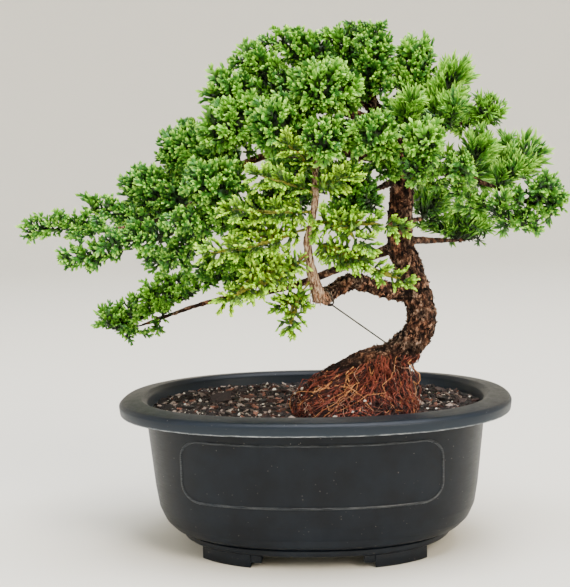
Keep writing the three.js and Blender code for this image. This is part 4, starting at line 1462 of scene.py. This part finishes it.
@dataclass
class PottingMix:
    """The soil's top: bark chips, small crumbs and white perlite, strewn on the model's soil."""

    chips: int = 2300
    red_chips: int = 800
    crumbs: int = 2700
    grains: int = 460
    variants: int = 8
    seed: int = 9
    drop_height: float = 200 * MM
    # Where the mound is looked for, from this height down by this much, and how high grains lie on it
    mound_drop: float = 120 * MM
    mound_reach: float = 30 * MM
    mound_foot: tuple[float, float] = (91 * MM, 106 * MM)
    soil_level: float = 92 * MM
    soil_lowest: float = 80 * MM
    wall_gap: float = 2.5 * MM
    slab_place: tuple[float, float, float] = (-64, 4, 95.5)
    slab_size: tuple[float, float, float] = (13 * MM, 8 * MM, 2.2 * MM)
    slab_lean: tuple[float, float] = (math.radians(-14), math.radians(38))
    pot: TrainingPot = field(default_factory=TrainingPot)

    def chip(self, rng: random.Random) -> bpy.types.Mesh:
        """Makes a torn bark chip: a slab with uneven corners.

        Args:
            rng: the source of its unevenness.

        Returns:
            The chip's mesh, one unit across.
        """
        shape = bmesh.new()
        bmesh.ops.create_cube(shape, size=1.0)
        for vert in shape.verts:
            vert.co += jitter(rng, 0.22)
        bmesh.ops.triangulate(shape, faces=shape.faces[:])
        return mesh_of("chip", shape, smooth=False)

    def lump(self, rng: random.Random) -> bpy.types.Mesh:
        """Makes a rounded, uneven grain.

        Args:
            rng: the source of its unevenness.

        Returns:
            The grain's mesh, one unit across.
        """
        shape = bmesh.new()
        bmesh.ops.create_icosphere(shape, subdivisions=1, radius=0.5)
        for vert in shape.verts:
            vert.co *= rng.uniform(0.75, 1.25)
        return mesh_of("lump", shape, smooth=False)

    def strew(
        self,
        name: str,
        shapes: list[bpy.types.Mesh],
        count: int,
        sizes: tuple[float, float, float, float],
        finish: Grit,
        cling: float = 0.0,
    ) -> None:
        """Strews grains over the soil as one piece.

        Args:
            name: the piece's name.
            shapes: the grains to choose from, one unit across.
            count: how many are dropped.
            sizes: the least and most length, then the least and most thickness for that length.
            finish: what the grains are made of.
            cling: the share of those that fall on the mound's foot and stay there.
        """
        rng = random.Random(self.seed + count)
        soil = surface_of(merged_copy("soil"))
        wood = surface_of(merged_copy("tree_wood"))
        half = self.pot.wall_half(self.soil_level) - self.pot.wall - self.wall_gap
        down = Vector((0, 0, -1))
        whole = bmesh.new()
        for _ in range(count):
            edge = self.pot.oval(half, rng.uniform(0, 2 * math.pi), self.soil_level)
            place = POT_CENTRE.lerp(Vector((edge.x, edge.y, 0)), math.sqrt(rng.random()))
            hit, normal, _, _ = soil.ray_cast(Vector((*place.xy, self.drop_height)), down)
            above = Vector((*place.xy, self.mound_drop))
            on_mound, slope, _, _ = wood.ray_cast(above, down, self.mound_reach)
            if on_mound:
                if not self.mound_foot[0] < on_mound.z < self.mound_foot[1] or rng.random() > cling:
                    continue
                hit, normal = on_mound + slope * MM, slope
            if not hit or hit.z < self.soil_lowest:
                continue
            # One grain in seventeen is larger than the rest
            length = rng.uniform(*sizes[:2]) * (1.6 if rng.random() < 0.06 else 1.0)
            thick = length * rng.uniform(*sizes[2:])
            tilt = Matrix.Rotation(rng.gauss(0, 0.35), 4, "X") @ Matrix.Rotation(rng.gauss(0, 0.35), 4, "Y")
            turn = Matrix.Rotation(rng.uniform(0, 2 * math.pi), 4, "Z")
            scale = Matrix.Diagonal((length, length * rng.uniform(0.45, 0.9), thick, 1))
            seat = Matrix.Translation(hit + normal * thick * 0.3)
            stamp(whole, rng.choice(shapes), seat @ tilt @ turn @ scale, {TONE: 0.9 * rng.random() ** 3})
        piece = new_object(name, mesh_of(name, whole, smooth=False), [finish.material()])
        finish_piece(piece, "potting_mix")

    def slab(self) -> None:
        """Leans the one large piece of bark on the soil, left of the mound."""
        rng = random.Random(self.seed)
        shape = bmesh.new()
        bmesh.ops.create_cube(shape, size=1.0)
        bmesh.ops.subdivide_edges(shape, edges=shape.edges[:], cuts=2, use_grid_fill=True)
        for vert in shape.verts:
            vert.co += jitter(rng, 0.09)
        bmesh.ops.triangulate(shape, faces=shape.faces[:])
        mesh = mesh_of("slab", shape, smooth=False)
        lean = Matrix.Rotation(self.slab_lean[0], 4, "Y") @ Matrix.Rotation(self.slab_lean[1], 4, "X")
        seat = Matrix.Translation(from_pot(*self.slab_place))
        mesh.transform(seat @ lean @ Matrix.Diagonal((*self.slab_size, 1)))
        mark(mesh, TONE, 0.2)
        piece = new_object("large_bark_chip", mesh, [BARK_CHIP.material()])
        finish_piece(piece, "potting_mix")

    def build(self) -> None:
        """Dresses the model's soil, strews four sorts of grain on it and adds the large piece of bark."""
        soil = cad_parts["soil"]
        soil.data.materials.clear()
        soil.data.materials.append(WET_FINES.material())
        rng = random.Random(self.seed)
        chips = [self.chip(rng) for _ in range(self.variants)]
        lumps = [self.lump(rng) for _ in range(self.variants)]
        self.strew("bark_chips", chips, self.chips, (1.4 * MM, 3.9 * MM, 0.22, 0.5), BARK_CHIP)
        self.strew("red_chips", chips, self.red_chips, (1.4 * MM, 4.2 * MM, 0.2, 0.45), ROTTEN_CHIP)
        self.strew("soil_crumbs", lumps, self.crumbs, (0.7 * MM, 2.0 * MM, 0.5, 0.9), WET_FINES, 0.7)
        self.strew("perlite_grains", lumps, self.grains, (0.9 * MM, 2.5 * MM, 0.6, 0.95), PERLITE, 0.3)
        self.slab()


@dataclass(frozen=True)
class ShootPattern:
    """A little fan of leafy cords, as tall as 1 and upright on the origin.

    Scale leaves overlap along each cord, so it swells and narrows like a string of beads. waist is how
    narrow it is between two beads, and bend is how far its end leans over.
    """

    rows: int = 5
    girth: float = 0.14
    waist: float = 0.58
    taper: float = 0.65
    side_cords: int = 4
    side_rows: int = 2
    side_length: float = 0.5
    splay: float = math.radians(40)
    bend: float = 0.12
    stalk: float = 0.25

    def cord(
        self,
        shape: bmesh.types.BMesh,
        foot: Vector,
        ahead: Vector,
        length: float,
        rows: int,
        rng: random.Random,
    ) -> None:
        """Adds one closed cord: three-cornered rings that turn at each row and run out to a point.

        Args:
            shape: what the cord is added to, with the leaf and rise layers.
            foot: where it starts.
            ahead: which way it runs.
            length: how long it is.
            rows: how many rings it has, a narrow one and a wide one in turn.
            rng: the source of its unevenness.
        """
        leaf_layer = shape.verts.layers.float[LEAF]
        # Painted light and shade: each cord gets its own lightness, so neighbouring cords read as lit and
        # shaded
        cord_shading = rng.uniform(0.5, 1.1)
        turn = ahead.to_track_quat("Z", "Y").to_matrix()
        rings = []
        for row in range(rows):
            share = row / (rows - 0.5)
            wide = row % 2 == 1
            radius = self.girth * (1.0 if wide else self.waist) * (1 - (1 - self.taper) * share)
            ring = []
            for corner in range(3):
                angle = (2 * corner + row) * math.pi / 3 + rng.gauss(0, 0.12)
                out = Vector((math.cos(angle), math.sin(angle), 0)) * radius * rng.uniform(0.85, 1.2)
                vert = shape.verts.new(foot + turn @ (out + Vector((0, 0, length * share))))
                # Painted shade in the waists between beads; the beads and the point are paler
                vert[leaf_layer] = 0.5 * cord_shading if wide else 0.0
                ring.append(vert)
            rings.append(ring)
        point = shape.verts.new(foot + ahead * length)
        point[leaf_layer] = cord_shading
        shape.faces.new(reversed(rings[0]))
        for lower, upper in zip(rings, rings[1:]):
            for k in range(3):
                after = (k + 1) % 3
                shape.faces.new((lower[k], lower[after], upper[k]))
                shape.faces.new((upper[k], lower[after], upper[after]))
        for k in range(3):
            shape.faces.new((rings[-1][k], rings[-1][(k + 1) % 3], point))

    def mesh(self, rng: random.Random) -> bpy.types.Mesh:
        """Makes the fan.

        Args:
            rng: the source of its unevenness.

        Returns:
            The fan's mesh, with each point's painted lightness along its cord and how far up the fan it is.
        """
        shape = bmesh.new()
        shape.verts.layers.float.new(LEAF)
        rise_layer = shape.verts.layers.float.new(RISE)
        up = Vector((0, 0, 1))
        self.cord(shape, up * -self.stalk, up, 1 + self.stalk, self.rows, rng)
        for i in range(self.side_cords):
            share = 0.12 + 0.56 * i / max(1, self.side_cords - 1)
            hand = 1 if i % 2 else -1
            angle = self.splay * rng.uniform(0.8, 1.2)
            ahead = Vector((hand * math.sin(angle), rng.gauss(0, 0.25), math.cos(angle))).normalized()
            length = self.side_length * rng.uniform(0.8, 1.15) * (1.15 - 0.45 * share)
            self.cord(shape, up * share, ahead, length, self.side_rows, rng)
        for vert in shape.verts:
            height = clamp(vert.co.z)
            vert[rise_layer] = height
            vert.co.y += self.bend * height * height
        return mesh_of("shoot", shape, smooth=False)


SCALY = ShootPattern()
NEEDLED = ShootPattern(
    rows=3,
    girth=0.078,
    waist=0.85,
    taper=0.7,
    side_cords=5,
    side_length=0.75,
    splay=math.radians(20),
    bend=0.15,
)
FEATHER = ShootPattern(rows=4, girth=0.145, taper=0.75, side_cords=0, bend=0.1)

# Twigs between the sprays, by the spray that they grow from: their leafy ends, from the pot's centre in
# millimetres
OUTER_TWIGS: dict[str, tuple[tuple[int, int, int], ...]] = {
    "apex_right": (
        (42, -4, 336), (36, -16, 329), (36, -4, 341), (29, -4, 341), (47, -6, 339), (49, -16, 298),
    ),
    "apex_top": ((12, -4, 333),),
    "low_left_tip": (
        (-137, 64, 132), (-127, 64, 133), (-132, 64, 144), (-143, 64, 137), (-138, 64, 139),
    ),
    "low_left_inner": (
        (-116, 64, 138), (-110, 62, 172), (-124, 62, 149), (-112, 62, 150), (-96, 58, 162),
        (-129, 60, 158), (-83, 48, 167), (-127, 62, 144), (-120, 62, 148), (-113, 62, 151),
        (-104, 60, 156), (-94, 58, 160),
    ),
    "apex_left": ((-18, -4, 336), (-28, -4, 330)),
    "crest_inner": ((51, -10, 311), (55, -14, 300)),
    "burst_outer": ((99, -20, 272),),
    "right_middle": ((88, -26, 254),),
    "right_outer_up": ((125, -28, 263), (146, -28, 255), (137, -34, 240)),
    "right_tip": (
        (131, -38, 231), (142, -38, 209), (152, -34, 217), (132, -36, 226), (158, -36, 228),
        (133, -38, 211),
    ),
    "front_right_end": ((95, -36, 233),),
    "right_under": ((110, -32, 227), (98, -34, 222), (124, -38, 210), (93, -32, 233)),
    "front_right_outer": ((83, -34, 239),),
    "centre_dark": ((41, -26, 248),),
    "upper_left_low": ((-39, -20, 262),),
    "left_front_upper": ((-63, -50, 213), (-54, -44, 214), (-60, -50, 221), (-66, -46, 204)),
    "left_tip": (
        (-140, -30, 210), (-182, -24, 210), (-160, -28, 221), (-145, -28, 220), (-151, -32, 211),
    ),
    "left_under_tip": ((-147, -38, 207), (-137, -38, 193)),
    "left_underside": ((-106, -30, 194), (-81, -30, 188), (-90, -30, 192)),
    "left_front": ((-132, -46, 218),),
    "low_left_middle": ((-87, 50, 172),),
    "low_centre": ((-76, 46, 168),),
    "stem_left_middle": ((-2, -62, 214), (-6, -62, 223), (-8, -62, 207), (4, -64, 216)),
    "stem_right_middle": ((10, -64, 225), (10, -62, 208), (10, -62, 228), (7, -64, 214), (4, -64, 203)),
    "stem_left_low": ((-3, -62, 197), (-13, -62, 199), (-3, -62, 188), (-18, -66, 190)),
    "stem_right_low": ((12, -64, 190), (21, -62, 211), (8, -62, 198), (26, -60, 200), (48, -60, 187)),
    "right_back_low": ((72, 46, 207), (117, 62, 203), (105, 62, 198), (94, 56, 200)),
    "right_back_rise": ((80, 34, 240),),
    "stem_down": ((4, -60, 164), (-18, -60, 152)),
    "stem_left_long": ((-50, -60, 207), (-20, -64, 213)),
    "upper_left_top": ((-46, -10, 318),),
}


@dataclass
class Spray:
    """One spray as it grows: its mesh so far, the fine shoots to choose from, and how they stand.

    tone is how young it looks, from -0.5 to 0.5, and is lowered as painted shade on the shaded sprays. room
    is the area of a coarse shoot's foot for each fine shoot, and upward the least and most that they turn up.
    """

    whole: bmesh.types.BMesh
    patterns: list[bpy.types.Mesh]
    rng: random.Random
    tone: float
    room: float
    upward: tuple[float, float]


@dataclass
class Foliage:
    """The sprays: on each of the model's coarse shoots stand several fine ones, over a dark twiggy core.
    In the mature sprays the core's near-black green is painted shade.
    """

    # The area of a coarse shoot's foot that one fine shoot takes up, in the kinds of spray
    room: float = 10 * MM * MM
    back_room: float = 13.5 * MM * MM
    needled_room: float = 7.5 * MM * MM
    bare_room: float = 14 * MM * MM
    most: int = 12
    shortest: float = 5.5 * MM
    longest: float = 13.5 * MM
    usual: float = 9 * MM
    # The short shoots' length for the usual one, and how much they turn up
    filler_length: tuple[float, float] = (0.7, 1.05)
    filler_rise: float = 0.35
    variants: int = 8
    # How much the shoots turn up, least and most
    upward: tuple[float, float] = (0.0, 0.5)
    needled_upward: tuple[float, float] = (0.3, 0.9)
    wander: float = 0.16
    spread: float = 1.2 * MM
    side_step: float = 0.8 * MM
    side_first: float = 6.6 * MM
    side_shrink: float = 2.6 * MM
    dead_share: float = 0.001
    twig_step: float = 3.2 * MM
    stalk_foot: float = 0.8 * MM
    stalk_tip: float = 0.4 * MM
    inset: float = 3.1 * MM
    limb_gap: float = 3.5 * MM
    core_gap: float = 2.0 * MM
    fresh_prefix: str = "stem_"
    needled_prefixes: tuple[str, ...] = (
        "right_middle", "right_outer", "right_under", "right_back", "burst", "crest_outer",
    )
    needled_tone: float = 0.1
    # Painted shade: the sprays on the shaded left side get a lower tone, so a darker green
    shaded_prefixes: tuple[str, ...] = ("left_",)
    shaded_tone: float = -0.2
    seed: int = 31

    def coarse_shoots(
        self, shape: bmesh.types.BMesh
    ) -> list[tuple[list[Vector], Vector, bmesh.types.BMVert]]:
        """Finds the model's coarse shoots: points where just three long facets meet.

        Args:
            shape: a spray's merged mesh.

        Returns:
            Each shoot's three base corners, its point, and the point's vertex.
        """
        found = []
        for vert in shape.verts:
            if len(vert.link_faces) != 3 or len(vert.link_edges) != 3:
                continue
            base = [e.other_vert(vert).co.copy() for e in vert.link_edges]
            middle = sum(base, Vector()) / 3
            if (vert.co - middle).length > 3 * MM:
                found.append((base, vert.co.copy(), vert))
        return found

    def spot_on(self, corners: list[Vector], rng: random.Random) -> Vector:
        """Picks a random point of a triangle.

        Args:
            corners: the triangle's corners.
            rng: the source of the choice.

        Returns:
            The point.
        """
        u, v = rng.random(), rng.random()
        if u + v > 1:
            u, v = 1 - u, 1 - v
        return corners[0] + (corners[1] - corners[0]) * u + (corners[2] - corners[0]) * v

    def dense(self, spray: Spray, base: list[Vector], tip: Vector, tone: float) -> None:
        """Grows a close cluster of fine shoots over one coarse shoot, all leaning towards the light.

        Args:
            spray: the spray that it belongs to.
            base: the coarse shoot's three base corners.
            tip: its point.
            tone: how young the cluster looks, with the spray's painted shade in it.
        """
        rng = spray.rng
        a, b, c = base
        middle = (a + b + c) / 3
        area = (b - a).cross(c - a).length / 2
        for _ in range(max(1, min(int(area / spray.room + rng.random()), self.most))):
            start = self.spot_on(base, rng)
            run = tip + (start - middle) * 0.6 + scatter(rng, self.spread) - start
            length = clamp(run.length * rng.uniform(0.68, 1.06), self.shortest, self.longest)
            lean = scatter(rng, self.wander) + Vector((0, 0, rng.uniform(*spray.upward)))
            self.plant(spray, start, run.normalized() + lean, length, tone)

    def feathered(self, spray: Spray, base: list[Vector], tip: Vector, tone: float) -> None:
        """Grows a feather over one coarse shoot: an end shoot, and side shoots left and right of its line.

        Args:
            spray: the spray that it belongs to.
            base: the coarse shoot's three base corners.
            tip: its point.
            tone: how young the feather looks, with the spray's painted shade in it.
        """
        rng = spray.rng
        middle = sum(base, Vector()) / 3
        run = tip - middle
        ahead = run.normalized()
        side = ahead.cross(Vector((rng.gauss(0, 0.35), rng.gauss(0, 0.35), 1))).normalized()
        self.plant(spray, middle + run * 0.5, ahead, run.length * 0.6, tone)
        count = int(run.length / self.side_step)
        for i in range(count):
            share = 0.02 + 0.84 * i / count
            hand = 1 if i % 2 else -1
            lean = side * hand * rng.uniform(0.65, 0.95) + scatter(rng, 0.1)
            length = (self.side_first - self.side_shrink * share) * rng.uniform(0.85, 1.1)
            self.plant(spray, middle + run * share, ahead + lean, length, tone, 0.5 + 0.6 * share)

    def cover(self, spray: Spray, bare: list[bmesh.types.BMFace], wood: BVHTree) -> None:
        """Grows short shoots over the core, clear of the limb.

        Args:
            spray: the spray whose core it is.
            bare: the core's facets that carry no coarse shoot.
            wood: the surface of the limbs.
        """
        rng = spray.rng
        for face in bare:
            if wood.find_nearest(face.calc_center_median())[3] < self.limb_gap:
                continue
            corners = [v.co.copy() for v in face.verts][:3]
            for _ in range(int(face.calc_area() / self.bare_room + rng.random())):
                self.fill(spray, self.spot_on(corners, rng), face.normal, 0.35, 0.7)

    def fill(self, spray: Spray, start: Vector, ahead: Vector, wander: float, outer: float) -> None:
        """Grows one short shoot that turns up a little.

        Args:
            spray: the spray that it is added to.
            start: where it leaves the spray.
            ahead: roughly which way it points.
            wander: how far its heading strays.
            outer: how much light reaches it.
        """
        lean = scatter(spray.rng, wander) + Vector((0, 0, self.filler_rise))
        length = spray.rng.uniform(*self.filler_length) * self.usual
        self.plant(spray, start, ahead + lean, length, spray.tone, outer)

    def leafy_run(self, spray: Spray, start: Vector, end: Vector) -> None:
        """Grows tufts of shoots at even steps along a twig, the fullest at its end.

        Args:
            spray: the spray that the twig belongs to.
            start: where it leaves the spray.
            end: the middle of its leafy end.
        """
        run = end - start
        steps = max(2, int(run.length / self.twig_step))
        for i in range(1, steps + 1):
            for _ in range(5 if i == steps else 3):
                self.fill(spray, start.lerp(end, i / steps), run.normalized() * 0.6, 0.6, 1.0)

    def stalk(self, start: Vector, end: Vector) -> bpy.types.Mesh:
        """Makes the bare, tapered stalk of a twig.

        Args:
            start: where it leaves its spray.
            end: the middle of its leafy end.

        Returns:
            The stalk's mesh.
        """
        run = end - start
        shape = bmesh.new()
        turn = run.to_track_quat("Z", "Y").to_matrix().to_4x4()
        bmesh.ops.create_cone(
            shape,
            cap_ends=True,
            segments=5,
            radius1=self.stalk_foot,
            radius2=self.stalk_tip,
            depth=run.length + MM,
            matrix=Matrix.Translation(start.lerp(end, 0.5)) @ turn,
        )
        return mesh_of("stalk", shape)

    def plant(
        self,
        spray: Spray,
        start: Vector,
        heading: Vector,
        length: float,
        tone: float,
        outer: float = 1.0,
    ) -> None:
        """Adds one fine shoot, kept inside the model's own bounds.

        Args:
            spray: the spray that it is added to.
            start: where it leaves its spray.
            heading: which way it points.
            length: how long it is.
            tone: how young it looks, from -0.5 to 0.5, lowered as painted shade on the shaded sprays.
            outer: how much light reaches it, from 0 deep in the spray to 1 outside.
        """
        rng = spray.rng
        pattern = rng.choice(spray.patterns)
        low, high = CAD_BOX
        end = start + heading.normalized() * length
        end = Vector([clamp(end[i], low[i] + self.inset, high[i] - self.inset) for i in range(3)])
        run = end - start
        turn = run.to_track_quat("Z", "Y").to_matrix().to_4x4()
        girth = rng.uniform(0.85, 1.15) * (0.6 * length + 0.4 * self.usual)
        scale = Matrix.Diagonal((girth, girth, run.length, 1))
        spin = Matrix.Rotation(rng.uniform(0, 2 * math.pi), 4, "Z")
        value = clamp(0.5 + tone + rng.gauss(0, 0.2), 0.05)
        if rng.random() < self.dead_share:
            value = 0.0
        marks = {TONE: value, OUTER: outer * rng.uniform(0.8, 1.15)}
        stamp(spray.whole, pattern, Matrix.Translation(start) @ turn @ spin @ scale, marks)

    def core(self, shape: bmesh.types.BMesh, wood: BVHTree, rng: random.Random) -> bpy.types.Mesh:
        """Makes a spray's twiggy core: the coarse one drawn in and roughened, but held near the wood.

        Args:
            shape: the coarse core. It is used up.
            wood: the surface of the limbs.
            rng: the source of its roughness.

        Returns:
            The core's mesh.
        """
        bmesh.ops.triangulate(shape, faces=shape.faces[:])
        bmesh.ops.subdivide_edges(shape, edges=shape.edges[:], cuts=1, use_grid_fill=True)
        loose = [v for v in shape.verts if wood.find_nearest(v.co)[3] > self.core_gap]
        even_out(shape, loose, 0.6, 4)
        shape.normal_update()
        for vert in loose:
            vert.co -= vert.normal * rng.uniform(0.0, 1.0) * MM
        return mesh_of("core", shape, smooth=False)

    def spray(
        self, node: str, wood: BVHTree, patterns: list[bpy.types.Mesh], rng: random.Random
    ) -> bpy.types.Mesh:
        """Dresses one spray of the model.

        Args:
            node: the spray's name.
            wood: the surface of the limbs.
            patterns: the fine shoots to choose from.
            rng: the source of its differences.

        Returns:
            The spray's mesh: needles in its first material, the core in its second.
        """
        shape = merged_copy(node)
        coarse = self.coarse_shoots(shape)
        fresh = node.startswith(self.fresh_prefix)
        spray = Spray(bmesh.new(), patterns, rng, rng.uniform(-0.2, 0.2), self.room, self.upward)
        if node.startswith(self.needled_prefixes):
            spray.room, spray.upward = self.needled_room, self.needled_upward
            spray.tone += self.needled_tone
        elif "back" in node:
            spray.room = self.back_room
        elif node.startswith(self.shaded_prefixes):
            spray.tone += self.shaded_tone
        grow = self.feathered if fresh else self.dense
        for base, tip, _ in coarse:
            grow(spray, base, tip, spray.tone + rng.uniform(-0.15, 0.15))
        bmesh.ops.delete(shape, geom=[vert for _, _, vert in coarse], context="VERTS")
        filled = set(bmesh.ops.holes_fill(shape, edges=shape.edges[:], sides=3)["faces"])
        shape.normal_update()
        self.cover(spray, [f for f in shape.faces if f not in filled], wood)
        skin = BVHTree.FromBMesh(shape)
        stalks = []
        for place in OUTER_TWIGS.get(node, ()):
            end = from_pot(*place)
            start = skin.find_nearest(end)[0]
            if fresh:
                self.feathered(spray, [start] * 3, end, spray.tone)
            else:
                self.leafy_run(spray, start, end)
            stalks.append(self.stalk(start, end))
        first = len(spray.whole.faces)
        for mesh in [self.core(shape, wood, rng), *stalks]:
            spray.whole.from_mesh(mesh)
        spray.whole.faces.ensure_lookup_table()
        for face in spray.whole.faces[first:]:
            face.material_index = 1
        return mesh_of(node + "_foliage", spray.whole, smooth=False)

    def build(self, finishes: dict[Season, tuple[JuniperNeedles, TwigBark]]) -> None:
        """Makes one piece for each spray of the model.

        Args:
            finishes: the needles and twigs of each season.
        """
        rng = random.Random(self.seed)
        wood = surface_of(merged_copy("tree_wood"))
        kinds = (SCALY, NEEDLED, FEATHER)
        patterns = {kind: [kind.mesh(rng) for _ in range(self.variants)] for kind in kinds}
        materials = {season: [finish.material() for finish in pair] for season, pair in finishes.items()}
        total = 0
        for node in sorted(set(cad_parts) - {"pot", "soil", "tree_wood", "guy_wire"}):
            season = Season.FRESH if node.startswith(self.fresh_prefix) else Season.MATURE
            kind = FEATHER if season is Season.FRESH else SCALY
            if node.startswith(self.needled_prefixes):
                kind = NEEDLED
            mesh = self.spray(node, wood, patterns[kind], rng)
            piece = new_object(node + "_foliage", mesh, materials[season])
            total += len(piece.data.polygons)
            finish_piece(piece, season.value, node)
        LOG.info("foliage: %d faces in all", total)


@dataclass
class GuyWire:
    """The tying wire from the lower branch's end to the trunk's foot."""

    spacing: float = 0.4 * MM

    def build(self, finish: AnnealedWire) -> bpy.types.Object:
        """Makes the wire: the model's own run and loop, rounded off.

        Args:
            finish: the wire's surface.

        Returns:
            The wire's object.
        """
        shape = even_skin("guy_wire", self.spacing, 3)
        piece = new_object("guy_wire_run", mesh_of("guy_wire_run", shape), [finish.material()])
        finish_piece(piece, "guy_wire", "guy_wire")
        return piece


@dataclass(frozen=True)
class SoftLamp:
    """A soft square lamp: where it hangs, in metres, its side, its power in watts and its colour."""

    name: str
    place: tuple[float, float, float]
    side: float
    power: float
    colour: str

    def hang(self, target: Vector) -> None:
        """Puts the lamp into the scene.

        Args:
            target: the point that it faces.
        """
        data = bpy.data.lights.new(self.name, "AREA")
        data.shape = "SQUARE"
        data.size = self.side
        data.energy = self.power
        data.color = linear(self.colour)[:3]
        lamp = linked(self.name, data)
        lamp.location = self.place
        lamp.rotation_euler = (target - Vector(self.place)).to_track_quat("-Z", "Y").to_euler()


@dataclass
class Studio:
    """A pale round sweep, soft lamps and the camera where the photographer stood."""

    paper: str = "#dedacd"
    sky: str = "#eef1f4"
    sky_strength: float = 0.78
    floor_radius: float = 2.4
    sweep_radius: float = 2.2
    sweep_steps: int = 24
    wall_height: float = 5.0
    round_steps: int = 96
    tree_middle: float = 180 * MM
    # The camera, as fitted to the photograph: metres from the pot's middle, degrees and picture points
    distance: float = 0.900
    camera_height: float = 0.2562
    azimuth: float = 2.794
    yaw_offset: float = 1.167
    pitch: float = 5.70
    roll: float = 1.31
    focal_pixels: float = 1362.0
    image_height: int = 587
    sensor: float = 36.0
    lamps: tuple[SoftLamp, ...] = (
        SoftLamp("overhead", (0.3, -0.3, 3.0), 2.2, 235.0, "#f3f6ff"),
        SoftLamp("key", (2.2, -2.8, 2.3), 1.8, 185.0, "#fff3e2"),
        SoftLamp("fill", (-3.0, -2.2, 1.4), 2.4, 50.0, "#eef4ff"),
    )

    def camera(self) -> None:
        """Puts the camera at the photograph's viewpoint, with its focal length."""
        data = bpy.data.cameras.new("camera")
        data.sensor_fit = "VERTICAL"
        data.sensor_height = self.sensor
        data.lens = self.focal_pixels * self.sensor / self.image_height
        camera = linked("camera", data)
        round_pot = math.radians(self.azimuth)
        yaw = round_pot + math.radians(self.yaw_offset)
        pitch, roll = math.radians(self.pitch), math.radians(self.roll)
        place = POT_CENTRE + Vector(
            (math.sin(round_pot) * self.distance, -math.cos(round_pot) * self.distance, self.camera_height)
        )
        ahead = Vector((-math.sin(yaw) * math.cos(pitch), math.cos(yaw) * math.cos(pitch), -math.sin(pitch)))
        right = Vector((math.cos(yaw), math.sin(yaw), 0))
        up = right.cross(ahead)
        tilted_right = right * math.cos(roll) - up * math.sin(roll)
        tilted_up = up * math.cos(roll) + right * math.sin(roll)
        turn = Matrix((tilted_right, tilted_up, -ahead)).transposed().to_4x4()
        camera.matrix_world = Matrix.Translation(place) @ turn
        bpy.context.scene.camera = camera

    def sweep(self) -> None:
        """Makes the floor and the wall that it curves up into, all the way round."""
        shape = bmesh.new()
        places = [Vector((0, 0, 0)), Vector((self.floor_radius, 0, 0))]
        for step in range(1, self.sweep_steps + 1):
            angle = step / self.sweep_steps * math.pi / 2
            out = self.floor_radius + self.sweep_radius * math.sin(angle)
            places.append(Vector((out, 0, self.sweep_radius * (1 - math.cos(angle)))))
        places.append(Vector((self.floor_radius + self.sweep_radius, 0, self.wall_height)))
        verts = [shape.verts.new(place) for place in places]
        for a, b in zip(verts, verts[1:]):
            shape.edges.new((a, b))
        spin_round(shape, self.round_steps, 1e-5)
        bmesh.ops.recalc_face_normals(shape, faces=shape.faces[:])
        material, _, shader = new_material("Matt_studio_paper")
        set_up(shader, {"Base Color": linear(self.paper), "Roughness": 0.9})
        piece = new_object("studio_sweep", mesh_of("studio_sweep", shape), [material])

    def build(self) -> None:
        """Sets up the sweep, the sky light and the lamps."""
        self.sweep()
        world = bpy.data.worlds.new("sky")
        world.use_nodes = True
        background = world.node_tree.nodes["Background"]
        set_up(background, {"Color": linear(self.sky), "Strength": self.sky_strength})
        bpy.context.scene.world = world
        for lamp in self.lamps:
            lamp.hang(Vector((0, 0, self.tree_middle)))


def main() -> None:
    """Builds the studio and every piece of the tree and its pot, in order."""
    logging.basicConfig(level=logging.INFO, format="%(message)s")
    studio = Studio()
    studio.camera()
    studio.build()
    TrainingPot().build(PotPlastic())
    PottingMix().build()
    wood = Wood().build(JuniperBark())
    BarkFlakes().build(wood, wood.data.materials[0])
    RootMat().build(wood)
    GuyWire().build(AnnealedWire())
    Foliage().build(
        {
            Season.MATURE: (
                JuniperNeedles(Season.MATURE, "#081804", "#32711f", "#b8f05c", "#6aac20"),
                # Painted shade: the mature sprays' core is near-black green, for the shade deep inside them
                TwigBark(Season.MATURE, "#0c1a07", "#263c14"),
            ),
            Season.FRESH: (
                JuniperNeedles(Season.FRESH, "#1e3e06", "#88d01e", "#e4ff5e", "#bef21c"),
                TwigBark(Season.FRESH, "#46500f", "#8e8c22"),
            ),
        }
    )


if __name__ == "__main__":
    main()
